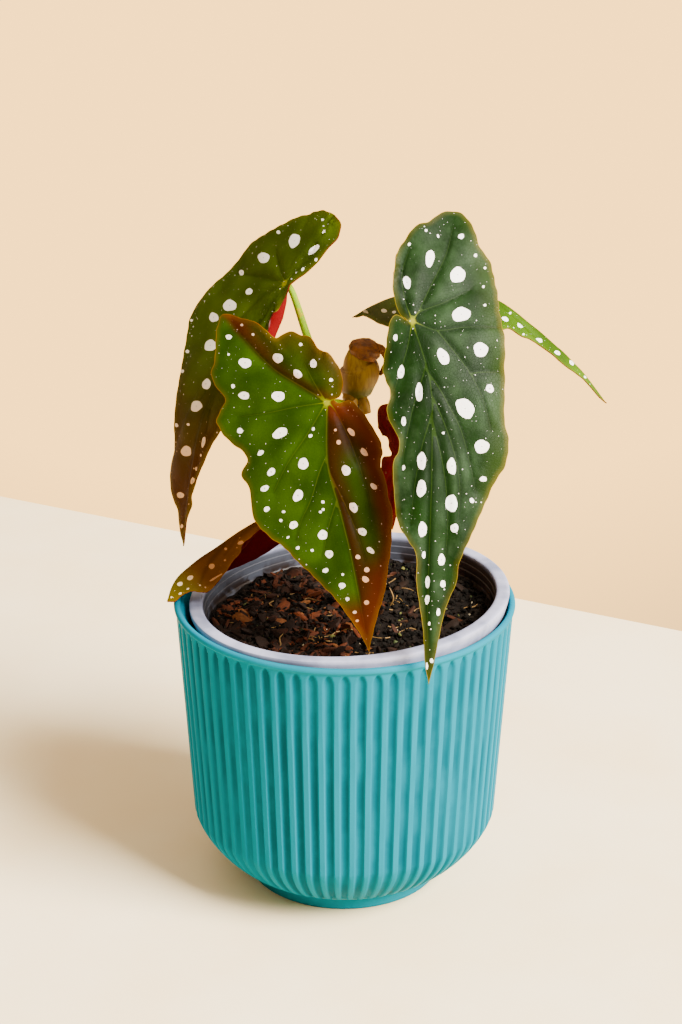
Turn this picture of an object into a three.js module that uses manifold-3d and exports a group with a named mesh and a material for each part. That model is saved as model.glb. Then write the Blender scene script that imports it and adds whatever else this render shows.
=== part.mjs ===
import * as THREE from 'three';
import { mergeVertices } from 'three/addons/utils/BufferGeometryUtils.js';
import Module from 'manifold-3d';

// A young polka dot begonia in a nursery pot, standing inside a ribbed glazed
// cachepot. Millimetres, +Z up. The origin is the middle of the cachepot's
// flat foot, and the front of the plant looks along -Y.

// Driving dimensions of the cachepot
const POT_HEIGHT = 113.2;
const POT_RIM_RADIUS = 63.9;
const POT_WALL_RADIUS = 63.4;
const POT_SHOULDER_RADIUS = 58.1;
const POT_SHOULDER_HEIGHT = 27.4;
const POT_CORNER_POWER = 1.46;
const FOOT_RADIUS = 37.4;
const FOOT_HEIGHT = 6;
const RIB_COUNT = 68;
const RIB_DEPTH = 1.1;
const RIB_TOP = 108.2;
const RIB_END = 110.6;

// Driving dimensions of the nursery pot, in its own upright frame
const NURSERY_RIM_RADIUS = 60;
const NURSERY_MOUTH_RADIUS = 55;
const NURSERY_BASE_RADIUS = 38;
const NURSERY_HEIGHT = 103;
const NURSERY_SKIRT = 4.7;
const NURSERY_WALL = 1.4;
const NURSERY_LEAN = THREE.MathUtils.degToRad(3.15);
const NURSERY_RIM_CENTRE = new THREE.Vector3(1.65, 0, 114.9);
const DRAIN_RADIUS = 4;
const DRAIN_RING = 22;

// Soil, stems and blades
const SOIL_LEVEL = 93;
const SOIL_BUMP = 1;
const CHIP_COUNT = 34;
const GAP = 0.3;
const BLADE = 0.8;
const BLADE_RINGS = [0.25, 0.5, 0.75, 1];
const STEM_SIDES = 8;

const wasm = await Module();
wasm.setup();

// Booleans work on closed meshes whose shared corners are merged

function toSolid(geometry) {
  const bare = geometry.clone();
  bare.deleteAttribute('normal');
  bare.deleteAttribute('uv');
  const merged = mergeVertices(bare, 1e-4);
  return new wasm.Manifold(new wasm.Mesh({
    numProp: 3,
    vertProperties: new Float32Array(merged.attributes.position.array),
    triVerts: new Uint32Array(merged.index.array),
  }));
}

function toGeometry(solid) {
  const mesh = solid.getMesh();
  const geometry = new THREE.BufferGeometry();
  geometry.setAttribute('position', new THREE.BufferAttribute(mesh.vertProperties, 3));
  geometry.setIndex(new THREE.BufferAttribute(mesh.triVerts, 1));
  geometry.computeVertexNormals();
  return geometry;
}

function meshGeometry(corners, faces) {
  const geometry = new THREE.BufferGeometry();
  geometry.setAttribute('position', new THREE.Float32BufferAttribute(corners.flat(), 3));
  geometry.setIndex(faces.flat());
  geometry.computeVertexNormals();
  return geometry;
}

// A closed skin over a stack of rings with the same number of corners each.
// Rings run anticlockwise seen from the end that the stack grows towards.
function skinRings(rings, bottom, top) {
  const count = rings[0].length;
  const corners = [...rings.flat(), bottom, top];
  const low = corners.length - 2;
  const high = corners.length - 1;
  const last = (rings.length - 1) * count;
  const faces = [];
  for (let j = 0; j < count; j += 1) {
    const k = (j + 1) % count;
    faces.push([low, k, j]);
    faces.push([high, last + j, last + k]);
    for (let i = 0; i + 1 < rings.length; i += 1) {
      const a = i * count;
      const b = a + count;
      faces.push([a + j, a + k, b + k]);
      faces.push([a + j, b + k, b + j]);
    }
  }
  return meshGeometry(corners, faces);
}

// A profile of [radius, height] pairs turned about Z into a closed solid
function turned(profile, segments) {
  const points = profile.map(([radius, height]) => new THREE.Vector2(radius, height));
  const geometry = new THREE.LatheGeometry(points, segments);
  geometry.rotateX(Math.PI / 2);
  return geometry;
}

function material(color, roughness) {
  return new THREE.MeshStandardMaterial({ color, roughness, metalness: 0 });
}

function piece(name, geometry, look) {
  const mesh = new THREE.Mesh(geometry, look);
  mesh.name = name;
  return mesh;
}

// The nursery pot leans inside the cachepot, its rim higher on the right

const leanGroup = new THREE.Group();
leanGroup.rotation.y = -NURSERY_LEAN;
const rimOffset = new THREE.Vector3(0, 0, NURSERY_HEIGHT).applyEuler(leanGroup.rotation);
leanGroup.position.copy(NURSERY_RIM_CENTRE).sub(rimOffset);
leanGroup.updateMatrixWorld();
const nurseryLowest = leanGroup.position.z - NURSERY_BASE_RADIUS * Math.sin(NURSERY_LEAN);
const POT_FLOOR = nurseryLowest - GAP;

// Cachepot: a smooth foot, a rounded corner, a ribbed wall and a plain rim band

function cornerPoint(angle) {
  const inner = FOOT_RADIUS + 2;
  const out = Math.cos(angle) ** POT_CORNER_POWER;
  const down = Math.sin(angle) ** POT_CORNER_POWER;
  return [
    inner + (POT_SHOULDER_RADIUS - inner) * out,
    FOOT_HEIGHT + (POT_SHOULDER_HEIGHT - FOOT_HEIGHT) * (1 - down),
  ];
}

function wallRadius(height) {
  const share = (height - POT_SHOULDER_HEIGHT) / (POT_HEIGHT - POT_SHOULDER_HEIGHT);
  return POT_SHOULDER_RADIUS + (POT_WALL_RADIUS - POT_SHOULDER_RADIUS) * share;
}

function cachepotGeometry() {
  const corner = [1.3, 1.05, 0.75, 0.4, 0].map((angle) => [...cornerPoint(angle), RIB_DEPTH]);
  const stations = [
    [FOOT_RADIUS, 0, 0],
    [FOOT_RADIUS + 0.4, FOOT_HEIGHT - 0.8, 0],
    [FOOT_RADIUS + 2.6, FOOT_HEIGHT + 0.1, 0],
    ...corner,
    [wallRadius(RIB_TOP), RIB_TOP, RIB_DEPTH],
    [wallRadius(RIB_END), RIB_END, 0],
    [POT_RIM_RADIUS, RIB_END + 0.6, 0],
    [POT_RIM_RADIUS, POT_HEIGHT - 0.8, 0],
    [POT_RIM_RADIUS - 0.8, POT_HEIGHT, 0],
  ];
  const count = RIB_COUNT * 2;
  const rings = stations.map(([radius, height, depth]) => Array.from({ length: count }, (_, j) => {
    const angle = (j / count) * 2 * Math.PI;
    const reach = radius - ((j + 1) % 2) * depth;
    return [reach * Math.cos(angle), reach * Math.sin(angle), height];
  }));
  const body = toSolid(skinRings(rings, [0, 0, 0], [0, 0, POT_HEIGHT]));
  const hollow = toSolid(turned([
    [0, POT_FLOOR],
    [41.5, POT_FLOOR],
    [46.6, POT_FLOOR + 4.2],
    [50.6, POT_FLOOR + 9.5],
    [54.2, POT_FLOOR + 18],
    [57.9, 104],
    [59.8, 108.8],
    [61.4, 110.8],
    [61.4, POT_HEIGHT + 1],
    [0, POT_HEIGHT + 1],
  ], 72));
  return toGeometry(body.subtract(hollow));
}

// Nursery pot: a thin tapered tub with a flat rim, a short skirt and drain holes

function nurseryGeometry() {
  const tub = toSolid(turned([
    [0, 0],
    [NURSERY_BASE_RADIUS, 0],
    [56, NURSERY_HEIGHT - NURSERY_SKIRT],
    [NURSERY_RIM_RADIUS - 0.8, NURSERY_HEIGHT - NURSERY_SKIRT],
    [NURSERY_RIM_RADIUS, NURSERY_HEIGHT - 0.5],
    [NURSERY_RIM_RADIUS - 0.5, NURSERY_HEIGHT],
    [NURSERY_MOUTH_RADIUS, NURSERY_HEIGHT],
    [54.6, NURSERY_HEIGHT - 4],
    [53.2, SOIL_LEVEL],
    [NURSERY_BASE_RADIUS - NURSERY_WALL, 1.8],
    [0, 1.8],
  ], 60));
  let drained = tub;
  for (let k = 0; k < 5; k += 1) {
    const angle = (k / 5) * 2 * Math.PI;
    const drill = new THREE.CylinderGeometry(DRAIN_RADIUS, DRAIN_RADIUS, 8, 12);
    drill.rotateX(Math.PI / 2);
    drill.translate(DRAIN_RING * Math.cos(angle), DRAIN_RING * Math.sin(angle), 0);
    drained = drained.subtract(toSolid(drill));
  }
  return toGeometry(drained);
}

// Stems are skinned along a smooth path whose corners carry a radius

function stemGeometry(stops, steps, sides = STEM_SIDES) {
  const path = new THREE.CatmullRomCurve3(stops.map(([x, y, z]) => new THREE.Vector3(x, y, z)));
  const frames = path.computeFrenetFrames(steps);
  const rings = [];
  for (let i = 0; i <= steps; i += 1) {
    const place = path.getUtoTmapping(i / steps) * (stops.length - 1);
    const low = Math.min(Math.floor(place), stops.length - 2);
    const radius = THREE.MathUtils.lerp(stops[low][3], stops[low + 1][3], place - low);
    const centre = path.getPointAt(i / steps);
    rings.push(Array.from({ length: sides }, (_, j) => {
      const angle = (j / sides) * 2 * Math.PI;
      const corner = centre.clone()
        .addScaledVector(frames.normals[i], radius * Math.cos(angle))
        .addScaledVector(frames.binormals[i], radius * Math.sin(angle));
      return corner.toArray();
    }));
  }
  return skinRings(rings, path.getPointAt(0).toArray(), path.getPointAt(1).toArray());
}

// Level rings of [x, y, height, radius] skinned into one upright body
function uprightGeometry(stops, sides) {
  const rings = stops.map(([x, y, z, radius]) => Array.from({ length: sides }, (_, j) => {
    const angle = (j / sides) * 2 * Math.PI;
    return [x + radius * Math.cos(angle), y + radius * Math.sin(angle), z];
  }));
  return skinRings(rings, stops[0].slice(0, 3), stops.at(-1).slice(0, 3));
}

// The cane stands upright behind the front leaf, swollen at its leaf joints

const CANE_BASE = 96;
const CANE_TOP = 189;
const CANE_RADIUS = 3.2;
const CANE_JOINTS = [118, 141, 166];
const CANE_SWELL = 0.8;

function caneAxis(height) {
  const bend = Math.max(0, (height - 165) / (CANE_TOP - 165));
  return new THREE.Vector3(2.8 + 0.4 * bend, 8 - 1.6 * bend, height);
}

function caneRadius(height) {
  const taper = CANE_RADIUS - 0.5 * ((height - CANE_BASE) / (CANE_TOP - CANE_BASE));
  const nearest = Math.min(...CANE_JOINTS.map((joint) => Math.abs(joint - height)));
  return taper + CANE_SWELL * Math.max(0, 1 - nearest / 3);
}

function caneGeometry(margin = 0) {
  const heights = [CANE_BASE, 110];
  CANE_JOINTS.forEach((joint) => heights.push(joint - 3, joint, joint + 3));
  heights.push(180, CANE_TOP);
  const sides = 12;
  const rings = heights.map((height) => Array.from({ length: sides }, (_, j) => {
    const angle = (j / sides) * 2 * Math.PI;
    const axis = caneAxis(height);
    const radius = caneRadius(height) + margin;
    return [axis.x + radius * Math.cos(angle), axis.y + radius * Math.sin(angle), height];
  }));
  return skinRings(rings, caneAxis(CANE_BASE).toArray(), caneAxis(CANE_TOP).toArray());
}

// Leaf blades. Each is drawn flat, as [along, across] from the point where its
// stalk joins: along runs down the midrib to the tip, and across grows to the
// right of someone who faces the upper side with the tip down. The flat blade
// is laid on a midrib that bends in space. Its halves fall away from the midrib
// by fold (radians) and then curve by curl (radians per mm), and the lobes
// behind the stalk arch back by arch (per mm).

const LEAVES = {
  leaf_tall: {
    midrib: [[23.5, -19, 226.2], [29.6, -31, 207.2], [30.1, -42, 184.3], [28.7, -61, 135],
      [29.1, -67, 109.2]],
    facing: [0.08, -1, 0.35],
    facingTip: [0.05, -1, 0.3],
    fold: [0.1, 0.1],
    curl: [0.006, 0.006],
    arch: 0.003,
    wave: [0.5, 11, 0.3],
    outline: [[-0.6, -1.6], [-3.4, -3.4], [-8.2, -3.9], [-13.9, -3.1], [-19.1, -1.3], [-25.6, 1.6],
      [-30.1, 5.8], [-34.2, 10.8], [-35.2, 15.8], [-38.4, 21.8], [-38.4, 26.6], [-36.5, 29.5],
      [-30.9, 31.3], [-22.7, 31.8], [-17.2, 33.8], [-9.8, 33.6], [3.9, 31.4], [15.4, 29.6],
      [22, 27.5], [36, 26.1], [41.8, 27.5], [50.9, 26.2], [58, 22.1], [68.8, 17.5], [77.5, 13.6],
      [85.6, 10.4], [91.8, 9.9], [99.8, 6.7], [110.5, 4], [121.5, 1.8], [128, 0], [120.6, -1.2],
      [108.5, -1.7], [92, -4.2], [82, -4.8], [72.9, -10.8], [66.4, -12.3], [50.2, -13.3],
      [47, -11.7], [41.8, -11.8], [37.8, -14.2], [32.5, -15.9], [25, -14.1], [19.8, -14.8],
      [12.7, -14.7], [3.9, -10.5], [-1.8, -7.6], [-3.9, -5.1]],
  },
  leaf_front: {
    midrib: [[-6.3, -18, 196], [-6, -28, 176.1], [-2, -35, 162.6], [2, -42, 148],
      [8.6, -49, 113.3]],
    facing: [-0.12, -1, 0.35],
    facingTip: [-0.1, -1, 0.3],
    fold: [0.12, 0.15],
    curl: [0.007, 0.008],
    arch: 0.003,
    wave: [0.6, 9, 1.2],
    outline: [[-1, 2.5], [-2, 4.5], [-5.9, 5.7], [-9.3, 5.6], [-14.2, 3.3], [-18.1, 0.1],
      [-19.4, -3], [-23.3, -5.4], [-25.1, -9.4], [-27, -14.1], [-24.8, -18.9], [-28.2, -22.7],
      [-31.5, -26.5], [-34, -32], [-37.5, -41], [-32.5, -43.6], [-25.2, -43.5], [-18.8, -43.6],
      [-14, -44.8], [-8, -42.6], [-4, -39.4], [-0.4, -40.7], [5.4, -42.7], [8.6, -40.8],
      [12.4, -37.2], [17.7, -29.9], [21, -33.2], [24.7, -30.7], [30.1, -31.7], [37.1, -30.2],
      [45, -24.3], [55.8, -18.4], [69.7, -8.8], [77.9, -4.4], [85, -1.5], [90.8, 0],
      [80.1, 4.4], [71.8, 8.7], [61.7, 12.3], [49.1, 16.4], [43.9, 17.8], [38.5, 17.8],
      [33.8, 18.6], [27, 18.4], [19.6, 19.7], [13.5, 19], [8, 16], [2.8, 12.2], [-0.8, 8.2],
      [0.2, 4]],
  },
  leaf_left: {
    midrib: [[-21.9, 20, 228.8], [-30.2, 18, 216.2], [-41.3, 16, 200.7], [-51.4, 13, 182.4],
      [-56.5, 10, 163.8], [-59, 7, 147.1], [-60.2, 3, 132.2]],
    facing: [-0.75, -0.6, 0.3],
    facingTip: [-0.75, -0.6, 0.2],
    fold: [0.1, 0.1],
    curl: [0.006, 0.006],
    arch: 0.002,
    wave: [0.5, 10, 0.8],
    outline: [[-0.9, 3.2], [-3.9, 4.1], [-8.7, 6.1], [-14.6, 7.7], [-19.7, 8.1], [-23.9, 8.3],
      [-27.7, 5.8], [-30.2, 3.3], [-30.7, -0.5], [-28.9, -5.7], [-25.5, -11.7], [-21, -16.8],
      [-12.7, -24.5], [-1.8, -34.9], [8.4, -38.2], [21.5, -41.1], [33.7, -41.9], [38.6, -38.3],
      [44.4, -33.4], [49.7, -28.2], [55, -23.1], [65.3, -18.2], [74.8, -14.5], [80, -15],
      [84.4, -13.4], [90.5, -9.8], [94.7, -5.6], [100.6, -3.5], [107.7, 0], [97.3, 1.3],
      [92.8, 3.1], [87.8, 2.7], [82.1, 4], [75.9, 6.4], [66.5, 8.9], [59.2, 10.9],
      [46.1, 14.2], [30.6, 12.2], [16.9, 6.4], [13.2, 4.2], [8.1, 4.1], [2.6, 4.1]],
  },
  leaf_right: {
    midrib: [[31.3, 26, 224.1], [45.5, 29, 224], [57.5, 31, 218.8], [74.6, 31, 205.7],
      [88.1, 30, 193.1], [98.5, 28, 180]],
    facing: [0, 0, 1],
    facingTip: [0, 0, 1],
    fold: [0.3, 0.4],
    curl: [0.012, 0.012],
    arch: 0.01,
    wave: [0.3, 9, 0.5],
    outline: [[-1.5, 2.2], [-7, 4.2], [-14, 5.5], [-21, 5], [-26, 3], [-28.8, 0], [-25.4, -3.6],
      [-24.3, -6.9], [-22.2, -10.6], [-20.5, -13.5], [-12, -17], [0, -18.6], [12, -18.8],
      [22, -18.4], [31, -15.8], [35, -12.4], [39.3, -11.5], [45, -9.3], [49.8, -8.7],
      [55.6, -7.5], [61.7, -6.7], [72, -3.6], [81.4, -1.8], [84.8, 0], [77, 1.6], [65, 4.4],
      [57, 6.2], [50, 8.2], [42, 10], [35, 12.4], [20, 15.5], [8, 16.5], [0, 14], [-3.5, 8]],
  },
  leaf_low: {
    midrib: [[-16.5, 4, 155.4], [-33, 6, 141.5], [-42.7, 5, 134.9], [-52.1, 3.5, 128.8],
      [-60.7, 0.5, 122.8], [-64.6, -4, 118.6], [-65.9, -8, 115.1]],
    facing: [-0.6, -0.1, 0.8],
    facingTip: [-0.6, -0.1, 0.8],
    fold: [1.1, 0.75],
    curl: [0, 0.02],
    arch: 0.004,
    wave: [0.3, 9, 0],
    outline: [[-1.4, 1.2], [-5, 5], [-2, 9.5], [6, 10.5], [14, 7.5], [21.8, 4.4], [26.2, 4.6],
      [30.2, 4.8], [32.8, 7.2], [36.8, 8.7], [41, 10.2], [47.9, 12.3], [52, 12.7], [57.3, 11.8],
      [61.8, 7.4], [66.2, 4.8], [68.7, 2.8], [69.4, 0.4], [68, -2], [64, -4.5], [58, -7.5],
      [50, -12], [41, -16], [30, -19], [18, -20], [6, -18.5], [-4, -13.5], [-8, -7], [-6, -1.5]],
  },
  leaf_young: {
    midrib: [[19.5, -14, 170.5], [18.8, -15, 158.5], [17.9, -16, 146.5]],
    facing: [0, -1, 0.2],
    facingTip: [0, -1, 0.2],
    fold: [0.2, 0.1],
    curl: [0.01, 0.01],
    arch: 0,
    wave: [0.5, 8, 0],
    outline: [[-2, 0.6], [-7.6, 3.3], [-16.7, 1.8], [-21.5, -1.5], [-22.5, -4.7], [-21.5, -8],
      [-18.5, -9.1], [-14.2, -8.7], [-10.8, -6.9], [-9.5, -4.4], [-6.8, -4.3], [-3.8, -3],
      [-2.8, -5.8], [1, -6.5], [7, -6.5], [14.2, -4.7], [22.5, -2.5], [24, -0.5], [14, 1.5],
      [3.3, 3], [-0.6, 1.4]],
  },
};

function prepareLeaf(leaf) {
  const stops = leaf.midrib.map((stop) => new THREE.Vector3(...stop));
  const curve = new THREE.CatmullRomCurve3(stops);
  curve.arcLengthDivisions = 40 * (stops.length - 1);
  const start = curve.getTangentAt(0);
  const facing = new THREE.Vector3(...leaf.facing).normalize();
  const side = new THREE.Vector3().crossVectors(facing, start).normalize();
  const normal = new THREE.Vector3().crossVectors(start, side);
  const flat = leaf.outline.map(([along, across]) => new THREE.Vector2(along, across));
  const outline = THREE.ShapeUtils.isClockWise(flat) ? leaf.outline.toReversed() : leaf.outline;
  return { ...leaf, outline, curve, length: curve.getLength(), start, normal };
}

function midribPoint(leaf, along) {
  if (along < 0) {
    return leaf.curve.getPointAt(0)
      .addScaledVector(leaf.start, along)
      .addScaledVector(leaf.normal, -leaf.arch * along * along);
  }
  const over = Math.max(0, along - leaf.length);
  const point = leaf.curve.getPointAt(Math.min(1, along / leaf.length));
  return point.addScaledVector(leaf.curve.getTangentAt(1), over);
}

// The middle of the blade's thickness, before its edge is waved
function bladePoint(leaf, along, across) {
  const tangent = midribPoint(leaf, along + 2).sub(midribPoint(leaf, along - 2)).normalize();
  const share = THREE.MathUtils.clamp(along / leaf.length, 0, 1);
  const facing = new THREE.Vector3(...leaf.facing).normalize()
    .lerp(new THREE.Vector3(...leaf.facingTip).normalize(), share);
  const side = new THREE.Vector3().crossVectors(facing, tangent).normalize();
  const normal = new THREE.Vector3().crossVectors(tangent, side);
  const half = across > 0 ? 1 : 0;
  const fold = leaf.fold[half];
  const curl = leaf.curl[half] || 1e-6;
  const reach = Math.abs(across);
  const out = (Math.sin(fold + curl * reach) - Math.sin(fold)) / curl;
  const rise = (Math.cos(fold + curl * reach) - Math.cos(fold)) / curl;
  return midribPoint(leaf, along)
    .addScaledVector(side, Math.sign(across) * out)
    .addScaledVector(normal, rise);
}

function bladeNormal(leaf, along, across) {
  const step = 0.6;
  const down = bladePoint(leaf, along + step, across).sub(bladePoint(leaf, along - step, across));
  const over = bladePoint(leaf, along, across + step).sub(bladePoint(leaf, along, across - step));
  return down.cross(over).normalize();
}

// Rings of corners shrink from the outline to the stalk point, on both faces
function bladeGeometry(plan) {
  const leaf = prepareLeaf(plan);
  const count = leaf.outline.length;
  const [height, waves, phase] = leaf.wave;
  const corners = [];
  [1, -1].forEach((face) => {
    const hub = bladePoint(leaf, 0, 0).addScaledVector(bladeNormal(leaf, 0, 0), face * BLADE / 2);
    corners.push(hub.toArray());
    BLADE_RINGS.forEach((share) => leaf.outline.forEach(([along, across], j) => {
      const lift = height * share ** 3 * Math.sin((j / count) * waves * 2 * Math.PI + phase);
      const place = bladePoint(leaf, along * share, across * share);
      const normal = bladeNormal(leaf, along * share, across * share);
      corners.push(place.addScaledVector(normal, lift + face * BLADE / 2).toArray());
    }));
  });
  const faces = [];
  const perFace = 1 + BLADE_RINGS.length * count;
  const edge = 1 + (BLADE_RINGS.length - 1) * count;
  for (let j = 0; j < count; j += 1) {
    const k = (j + 1) % count;
    [[0, false], [perFace, true]].forEach(([base, under]) => {
      const add = (a, b, c) => faces.push(under ? [a + base, c + base, b + base]
        : [a + base, b + base, c + base]);
      add(0, 1 + j, 1 + k);
      for (let i = 0; i + 1 < BLADE_RINGS.length; i += 1) {
        const a = 1 + i * count;
        const b = a + count;
        add(a + j, b + j, b + k);
        add(a + j, b + k, a + k);
      }
    });
    faces.push([edge + j, perFace + edge + j, perFace + edge + k]);
    faces.push([edge + j, perFace + edge + k, edge + k]);
  }
  return meshGeometry(corners, faces);
}

// Leaf stalks run from the cane to just behind the blade, and meet it squarely

const STALKS = {
  stalk_tall: {
    leaf: 'leaf_tall', leaves: 132, radius: [1.9, 1.4],
    by: [[16.1, 6, 150], [22, 2, 175], [24.6, -4, 203]],
  },
  stalk_front: {
    leaf: 'leaf_front', leaves: 184, radius: [2.3, 1.6],
    by: [[-1.5, -5, 190.5]],
  },
  stalk_left: {
    leaf: 'leaf_left', leaves: 159, radius: [1.8, 1.1],
    by: [[-5.4, 13, 186.1], [-13.3, 20, 207.2]],
  },
  stalk_right: {
    leaf: 'leaf_right', leaves: 124, radius: [1.8, 1.2],
    by: [[18, 16, 146.4], [28, 21, 170], [31.5, 24.5, 200]],
  },
  stalk_low: {
    leaf: 'leaf_low', leaves: 141, radius: [1.7, 1.2],
    by: [[-8, 5, 147.5]],
  },
  stalk_young: {
    leaf: 'leaf_young', leaves: 118, radius: [1.4, 1],
    by: [[12, 0, 138], [18.5, -6, 158]],
  },
};

// The stalk is drawn from inside the cane and trimmed clear of its bark. It is
// drawn back from the blade until the gap between them is wide enough.
function stalkGeometry(plan) {
  const leaf = prepareLeaf(LEAVES[plan.leaf]);
  const blade = toSolid(bladeGeometry(leaf));
  const sleeve = toSolid(caneGeometry(GAP));
  const normal = bladeNormal(leaf, 0, 0);
  const [base, tip] = plan.radius;
  let stalk = null;
  let clear = BLADE / 2 + GAP;
  do {
    const end = bladePoint(leaf, 0, 0).addScaledVector(normal, -clear);
    const before = end.clone().addScaledVector(normal, -2.4);
    const stops = [
      [...caneAxis(plan.leaves).toArray(), base],
      ...plan.by.map((stop) => [...stop, (base + tip) / 2]),
      [...before.toArray(), tip],
      [...end.toArray(), tip],
    ];
    const drawn = toSolid(stemGeometry(stops, 4 * (stops.length - 1)));
    const parts = drawn.subtract(sleeve).decompose();
    stalk = parts.reduce((a, b) => (a.volume() > b.volume() ? a : b));
    clear += 0.05;
  } while (stalk.minGap(blade, 1) < GAP);
  return toGeometry(stalk);
}

// The growing tip: a papery sheath over the bud, its dried brown cap with a
// hooked strip that reaches back to the sheath, and the stub of a cut stalk

const SHEATH_STOPS = [
  [3.2, 6.4, CANE_TOP + GAP, 2.5],
  [3.4, 6.3, 191.2, 2.7],
  [3.7, 6.2, 193, 3.6],
  [4.3, 6.1, 195.2, 5],
  [4.9, 6, 197.6, 6.2],
  [5.6, 6, 200.4, 6.9],
  [6.3, 6, 203, 6.8],
  [7, 6, 205.4, 6.3],
  [7.5, 6, 207.4, 5.4],
];

const CAP_STOPS = [
  [7.6, 6, 207.4 + GAP, 5.7],
  [7.9, 6, 209, 5.5],
  [8.1, 6, 210.6, 4.6],
  [8.2, 6, 211.7, 2.8],
  [8.2, 6, 212.3, 1],
];

const HOOK_STOPS = [
  [10.5, 5.4, 210.6, 1.2],
  [13.6, 5, 210, 1.1],
  [15.2, 5, 206.6, 0.9],
  [14.6, 5, 203.4, 0.6],
];

const STUB_STOPS = [
  [6.9, 3.1, 190.2, 1.6],
  [7.3, 2.7, 187.4, 1.8],
  [7.8, 2.3, 184.4, 1.7],
];

function capGeometry() {
  const dome = toSolid(uprightGeometry(CAP_STOPS, 12));
  const hook = toSolid(stemGeometry(HOOK_STOPS, 6, 6));
  return toGeometry(dome.add(hook));
}

// Potting soil fills the nursery pot. Bark chips stand half sunk in its top,
// and the cane goes down into a plain hole.

function seededRandom(seed) {
  let state = seed;
  return () => {
    state = (state * 1664525 + 1013904223) % 4294967296;
    return state / 4294967296;
  };
}

function soilTop(x, y) {
  const broad = Math.sin(x * 0.13 + 1) * Math.cos(y * 0.11 + 0.5);
  const fine = Math.sin(x * 0.37 + y * 0.29) * Math.cos(y * 0.41 - x * 0.17);
  return SOIL_LEVEL + SOIL_BUMP * (broad + 0.6 * fine);
}

function soilGeometry() {
  const segments = 36;
  const brim = 53.2 - GAP;
  const ring = (radius, height) => Array.from({ length: segments }, (_, j) => {
    const angle = (j / segments) * 2 * Math.PI;
    const x = radius * Math.cos(angle);
    const y = radius * Math.sin(angle);
    return [x, y, height === null ? soilTop(x, y) : height];
  });
  const taper = (height) => THREE.MathUtils.mapLinear(
    height, 1.8, SOIL_LEVEL, NURSERY_BASE_RADIUS - NURSERY_WALL, 53.2) - GAP - 0.2;
  const rings = [
    ring(taper(2.1), 2.1),
    ring(taper(SOIL_LEVEL - 3), SOIL_LEVEL - 3),
    ...[brim - 1, 44, 35, 26, 17, 8].map((radius) => ring(radius, null)),
  ];
  const earth = skinRings(rings, [0, 0, 2.1], [0, 0, soilTop(0, 0)]);
  let solid = toSolid(earth);
  const random = seededRandom(20);
  for (let k = 0; k < CHIP_COUNT; k += 1) {
    const chip = new THREE.BoxGeometry(6 + 6 * random(), 2.6 + 2.4 * random(), 1.4 + random());
    const reach = 12 + 33 * Math.sqrt(random());
    const angle = 2 * Math.PI * random();
    const x = reach * Math.cos(angle);
    const y = reach * Math.sin(angle);
    chip.rotateX((random() - 0.5) * 0.7);
    chip.rotateY((random() - 0.5) * 0.6);
    chip.rotateZ(2 * Math.PI * random());
    chip.translate(x, y, soilTop(x, y) + 0.3);
    solid = solid.add(toSolid(chip));
  }
  const placed = toGeometry(solid).applyMatrix4(leanGroup.matrixWorld);
  const foot = caneAxis(CANE_BASE);
  const bore = CANE_RADIUS + GAP + 0.1;
  const hole = new THREE.CylinderGeometry(bore, bore, 40, 16);
  hole.rotateX(Math.PI / 2);
  hole.translate(foot.x, foot.y, CANE_BASE - GAP + 20);
  return toGeometry(toSolid(placed).subtract(toSolid(hole)));
}

// Finishes seen on the real thing

const LOOKS = {
  glaze: material(0x59b8b9, 0.35),
  plastic: material(0xcdc8d4, 0.5),
  soil: material(0x2a1a10, 0.95),
  leafTall: material(0x3c7038, 0.35),
  leafFront: material(0x4f7d10, 0.3),
  leafDark: material(0x38400a, 0.35),
  leafPale: material(0x5f8f12, 0.35),
  leafBronze: material(0x6e4a08, 0.35),
  leafRed: material(0x6a0f10, 0.4),
  stem: material(0x8a7a2c, 0.45),
  stalk: material(0xb9c832, 0.4),
  sheath: material(0xa5781e, 0.6),
  dried: material(0x8c460a, 0.7),
};

const LEAF_LOOKS = {
  leaf_tall: LOOKS.leafTall,
  leaf_front: LOOKS.leafFront,
  leaf_left: LOOKS.leafDark,
  leaf_right: LOOKS.leafPale,
  leaf_low: LOOKS.leafBronze,
  leaf_young: LOOKS.leafRed,
};

const plant = new THREE.Group();
plant.add(piece('cachepot', cachepotGeometry(), LOOKS.glaze));
leanGroup.add(piece('nursery_pot', nurseryGeometry(), LOOKS.plastic));
plant.add(leanGroup);
plant.add(piece('soil', soilGeometry(), LOOKS.soil));
plant.add(piece('cane', caneGeometry(), LOOKS.stem));
plant.add(piece('bud_sheath', uprightGeometry(SHEATH_STOPS, 12), LOOKS.sheath));
plant.add(piece('bud_cap', capGeometry(), LOOKS.dried));
plant.add(piece('cut_stub', stemGeometry(STUB_STOPS, 4), LOOKS.sheath));
Object.entries(LEAVES).forEach(([name, leaf]) => {
  plant.add(piece(name, bladeGeometry(leaf), LEAF_LOOKS[name]));
});
Object.entries(STALKS).forEach(([name, stalk]) => {
  plant.add(piece(name, stalkGeometry(stalk), LOOKS.stalk));
});

export default plant;
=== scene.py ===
import math

import bpy
import numpy as np
from mathutils import Matrix, Vector, geometry, noise


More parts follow.
